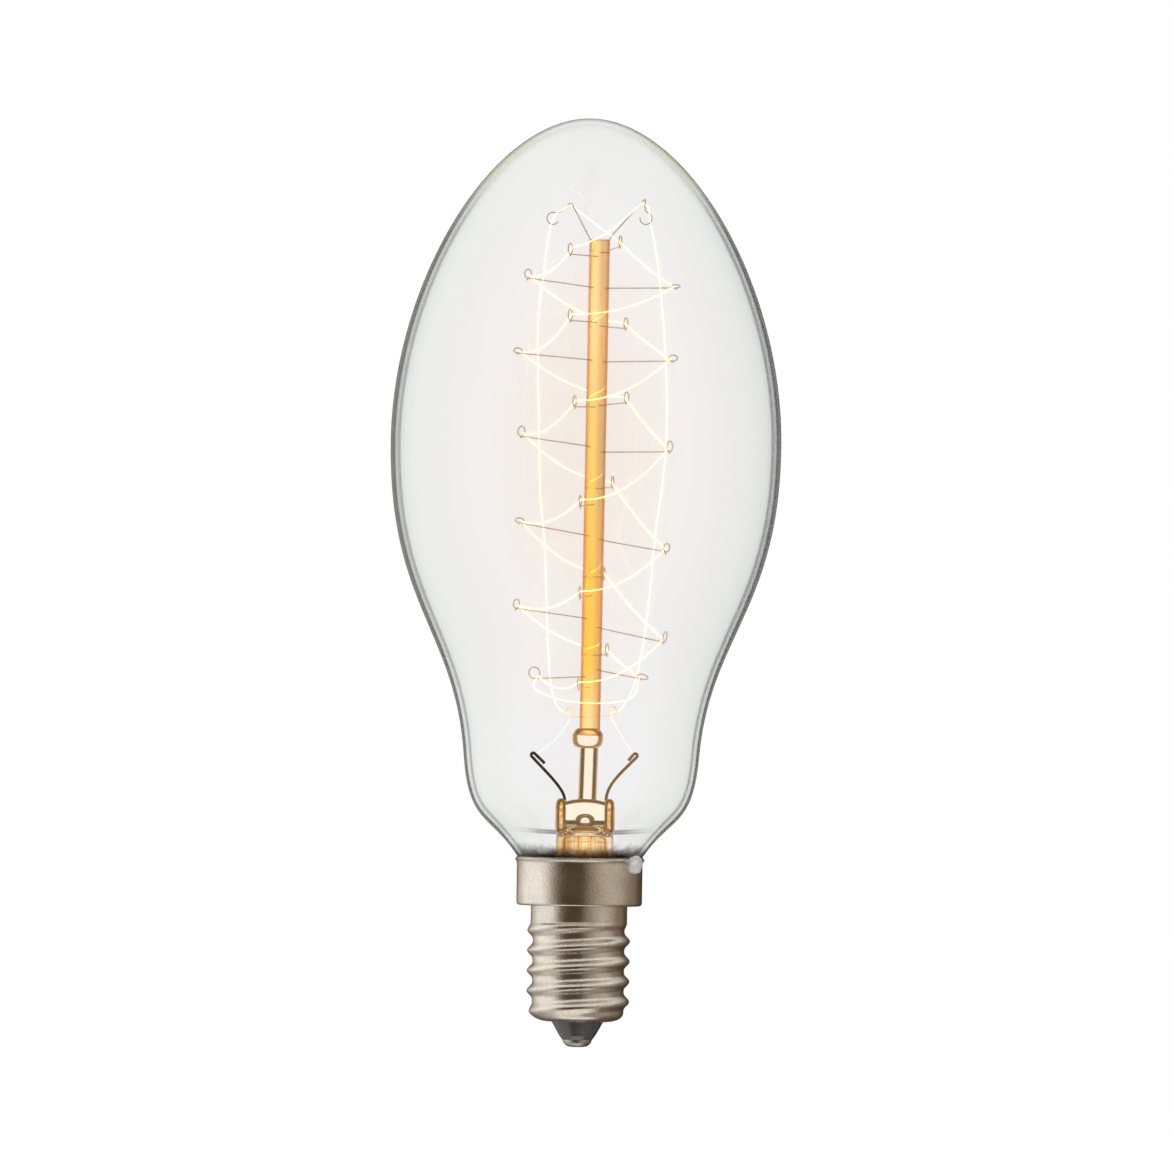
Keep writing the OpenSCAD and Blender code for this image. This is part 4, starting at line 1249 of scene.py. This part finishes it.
def roll_thread(blank, sizes, material):
    """Presses the thread into the plain shell with a node tree, and returns it as a plain mesh."""
    values = {
        "Pitch": sizes.pitch,
        "Crest Radius": sizes.crest_r,
        "Root Radius": sizes.root_r,
        "Barrel Radius": sizes.barrel_r - 0.05 * MM,
        "Crest Height": 9.23 * MM,
        "Fade Top": 17.75 * MM,
        "Fade Foot": 4.1 * MM,
        "Thread Top": 17.6 * MM,
        "Material": material,
    }
    return apply_tree(blank, thread_tree(values), values)


def thread_tree(labels):
    """A node tree that presses a rolled thread into a plain shell. The thread fades out at both ends."""
    tree, given = begin_tree("Rolled thread", labels)
    place = node(tree, "GeometryNodeInputPosition").outputs[0]
    x, y, z = node(tree, "ShaderNodeSeparateXYZ", {0: place}).outputs
    turn = maths(tree, "DIVIDE", maths(tree, "ARCTAN2", y, x), math.tau)
    beside = maths(tree, "SUBTRACT", steps_above(tree, z, given["Crest Height"], given["Pitch"]), turn)
    crest = maths(tree, "ROUND", beside)
    wave = maths(tree, "COSINE", times(tree, maths(tree, "SUBTRACT", beside, crest), math.tau))
    wave = maths(tree, "POWER", maths(tree, "MULTIPLY_ADD", wave, 0.5, 0.5), 1.5)
    turns_up = maths(tree, "ADD", crest, turn)
    crest_z = maths(tree, "MULTIPLY_ADD", turns_up, given["Pitch"], given["Crest Height"])
    gaps = (
        steps_above(tree, given["Fade Top"], crest_z, 1.2 * MM),
        steps_above(tree, crest_z, given["Fade Foot"], 1.7 * MM),
        steps_above(tree, given["Thread Top"], z, 0.5 * MM),
    )
    fade = times(tree, *(smooth_step(tree, gap, 0.0, 1.0) for gap in gaps))
    swell = smooth_step(tree, maths(tree, "DIVIDE", z, MM), 16.4, 17.4)
    rise = maths(tree, "SUBTRACT", given["Barrel Radius"], given["Root Radius"])
    plain = maths(tree, "MULTIPLY_ADD", swell, rise, given["Root Radius"])
    out = times(tree, maths(tree, "SUBTRACT", given["Crest Radius"], plain), wave, fade)
    flat = node(tree, "ShaderNodeCombineXYZ", {0: x, 1: y, 2: 0.0}).outputs[0]
    heading = node(tree, "ShaderNodeVectorMath", {0: flat}, operation="NORMALIZE").outputs[0]
    end_tree(tree, pushed(tree, given["Geometry"], heading, out), given["Material"])
    return tree


def steps_above(tree, high, low, step):
    """How many steps one value stands above another."""
    return maths(tree, "DIVIDE", maths(tree, "SUBTRACT", high, low), step)


def apply_tree(piece, tree, values):
    """Runs a node tree on a piece with its named values, and returns the piece as a plain mesh object."""
    modifier = piece.modifiers.new(tree.name, "NODES")
    modifier.node_group = tree
    for socket in tree.interface.items_tree:
        if socket.name in values:
            modifier[socket.identifier] = values[socket.name]
    return bake_modifiers(piece)


def bake_modifiers(piece):
    """Leaves what the modifiers make as a plain mesh. A curve gives way to a new mesh object."""
    bpy.context.view_layer.update()
    graph = bpy.context.evaluated_depsgraph_get()
    mesh = bpy.data.meshes.new_from_object(piece.evaluated_get(graph), depsgraph=graph)
    smooth(mesh)
    if piece.type == "MESH":
        piece.modifiers.clear()
        piece.data = mesh
        return piece
    name = piece.name
    bpy.data.objects.remove(piece)
    return add_object(name, mesh)


class LAMP_PT_panel(bpy.types.Panel):
    """Lists the steps that dress the lamp"""

    bl_label = "Filament lamp"
    bl_idname = "LAMP_PT_panel"
    bl_space_type = "VIEW_3D"
    bl_region_type = "UI"
    bl_category = "Lamp"

    def draw(self, context):
        for step in STEPS:
            self.layout.operator(step.bl_idname)
        for group in SETTINGS:
            column = self.layout.column()
            for key in group.__annotations__:
                column.prop(getattr(context.scene, SETTINGS[group]), key)


SETTINGS = {
    BulbSizes: "lamp_bulb",
    StemSizes: "lamp_stem",
    FilamentSizes: "lamp_filament",
    CapSizes: "lamp_cap",
    LampColours: "lamp_colours",
    StudioSettings: "lamp_studio",
}
STEPS = (
    LAMP_OT_stage,
    LAMP_OT_bulb,
    LAMP_OT_stem,
    LAMP_OT_wires,
    LAMP_OT_filament,
    LAMP_OT_cap,
)


def register():
    """Makes the settings, steps and panel known to Blender."""
    for kind in (*SETTINGS, *STEPS, LAMP_PT_panel):
        bpy.utils.register_class(kind)
    for group, name in SETTINGS.items():
        setattr(bpy.types.Scene, name, PointerProperty(type=group))


def unregister():
    """Takes the settings, steps and panel out again."""
    for name in SETTINGS.values():
        delattr(bpy.types.Scene, name)
    for kind in reversed((*SETTINGS, *STEPS, LAMP_PT_panel)):
        bpy.utils.unregister_class(kind)


def main():
    """Runs every step."""
    register()
    for step in STEPS:
        area, name = step.bl_idname.split(".")
        getattr(getattr(bpy.ops, area), name)()


if __name__ == "__main__":
    main()
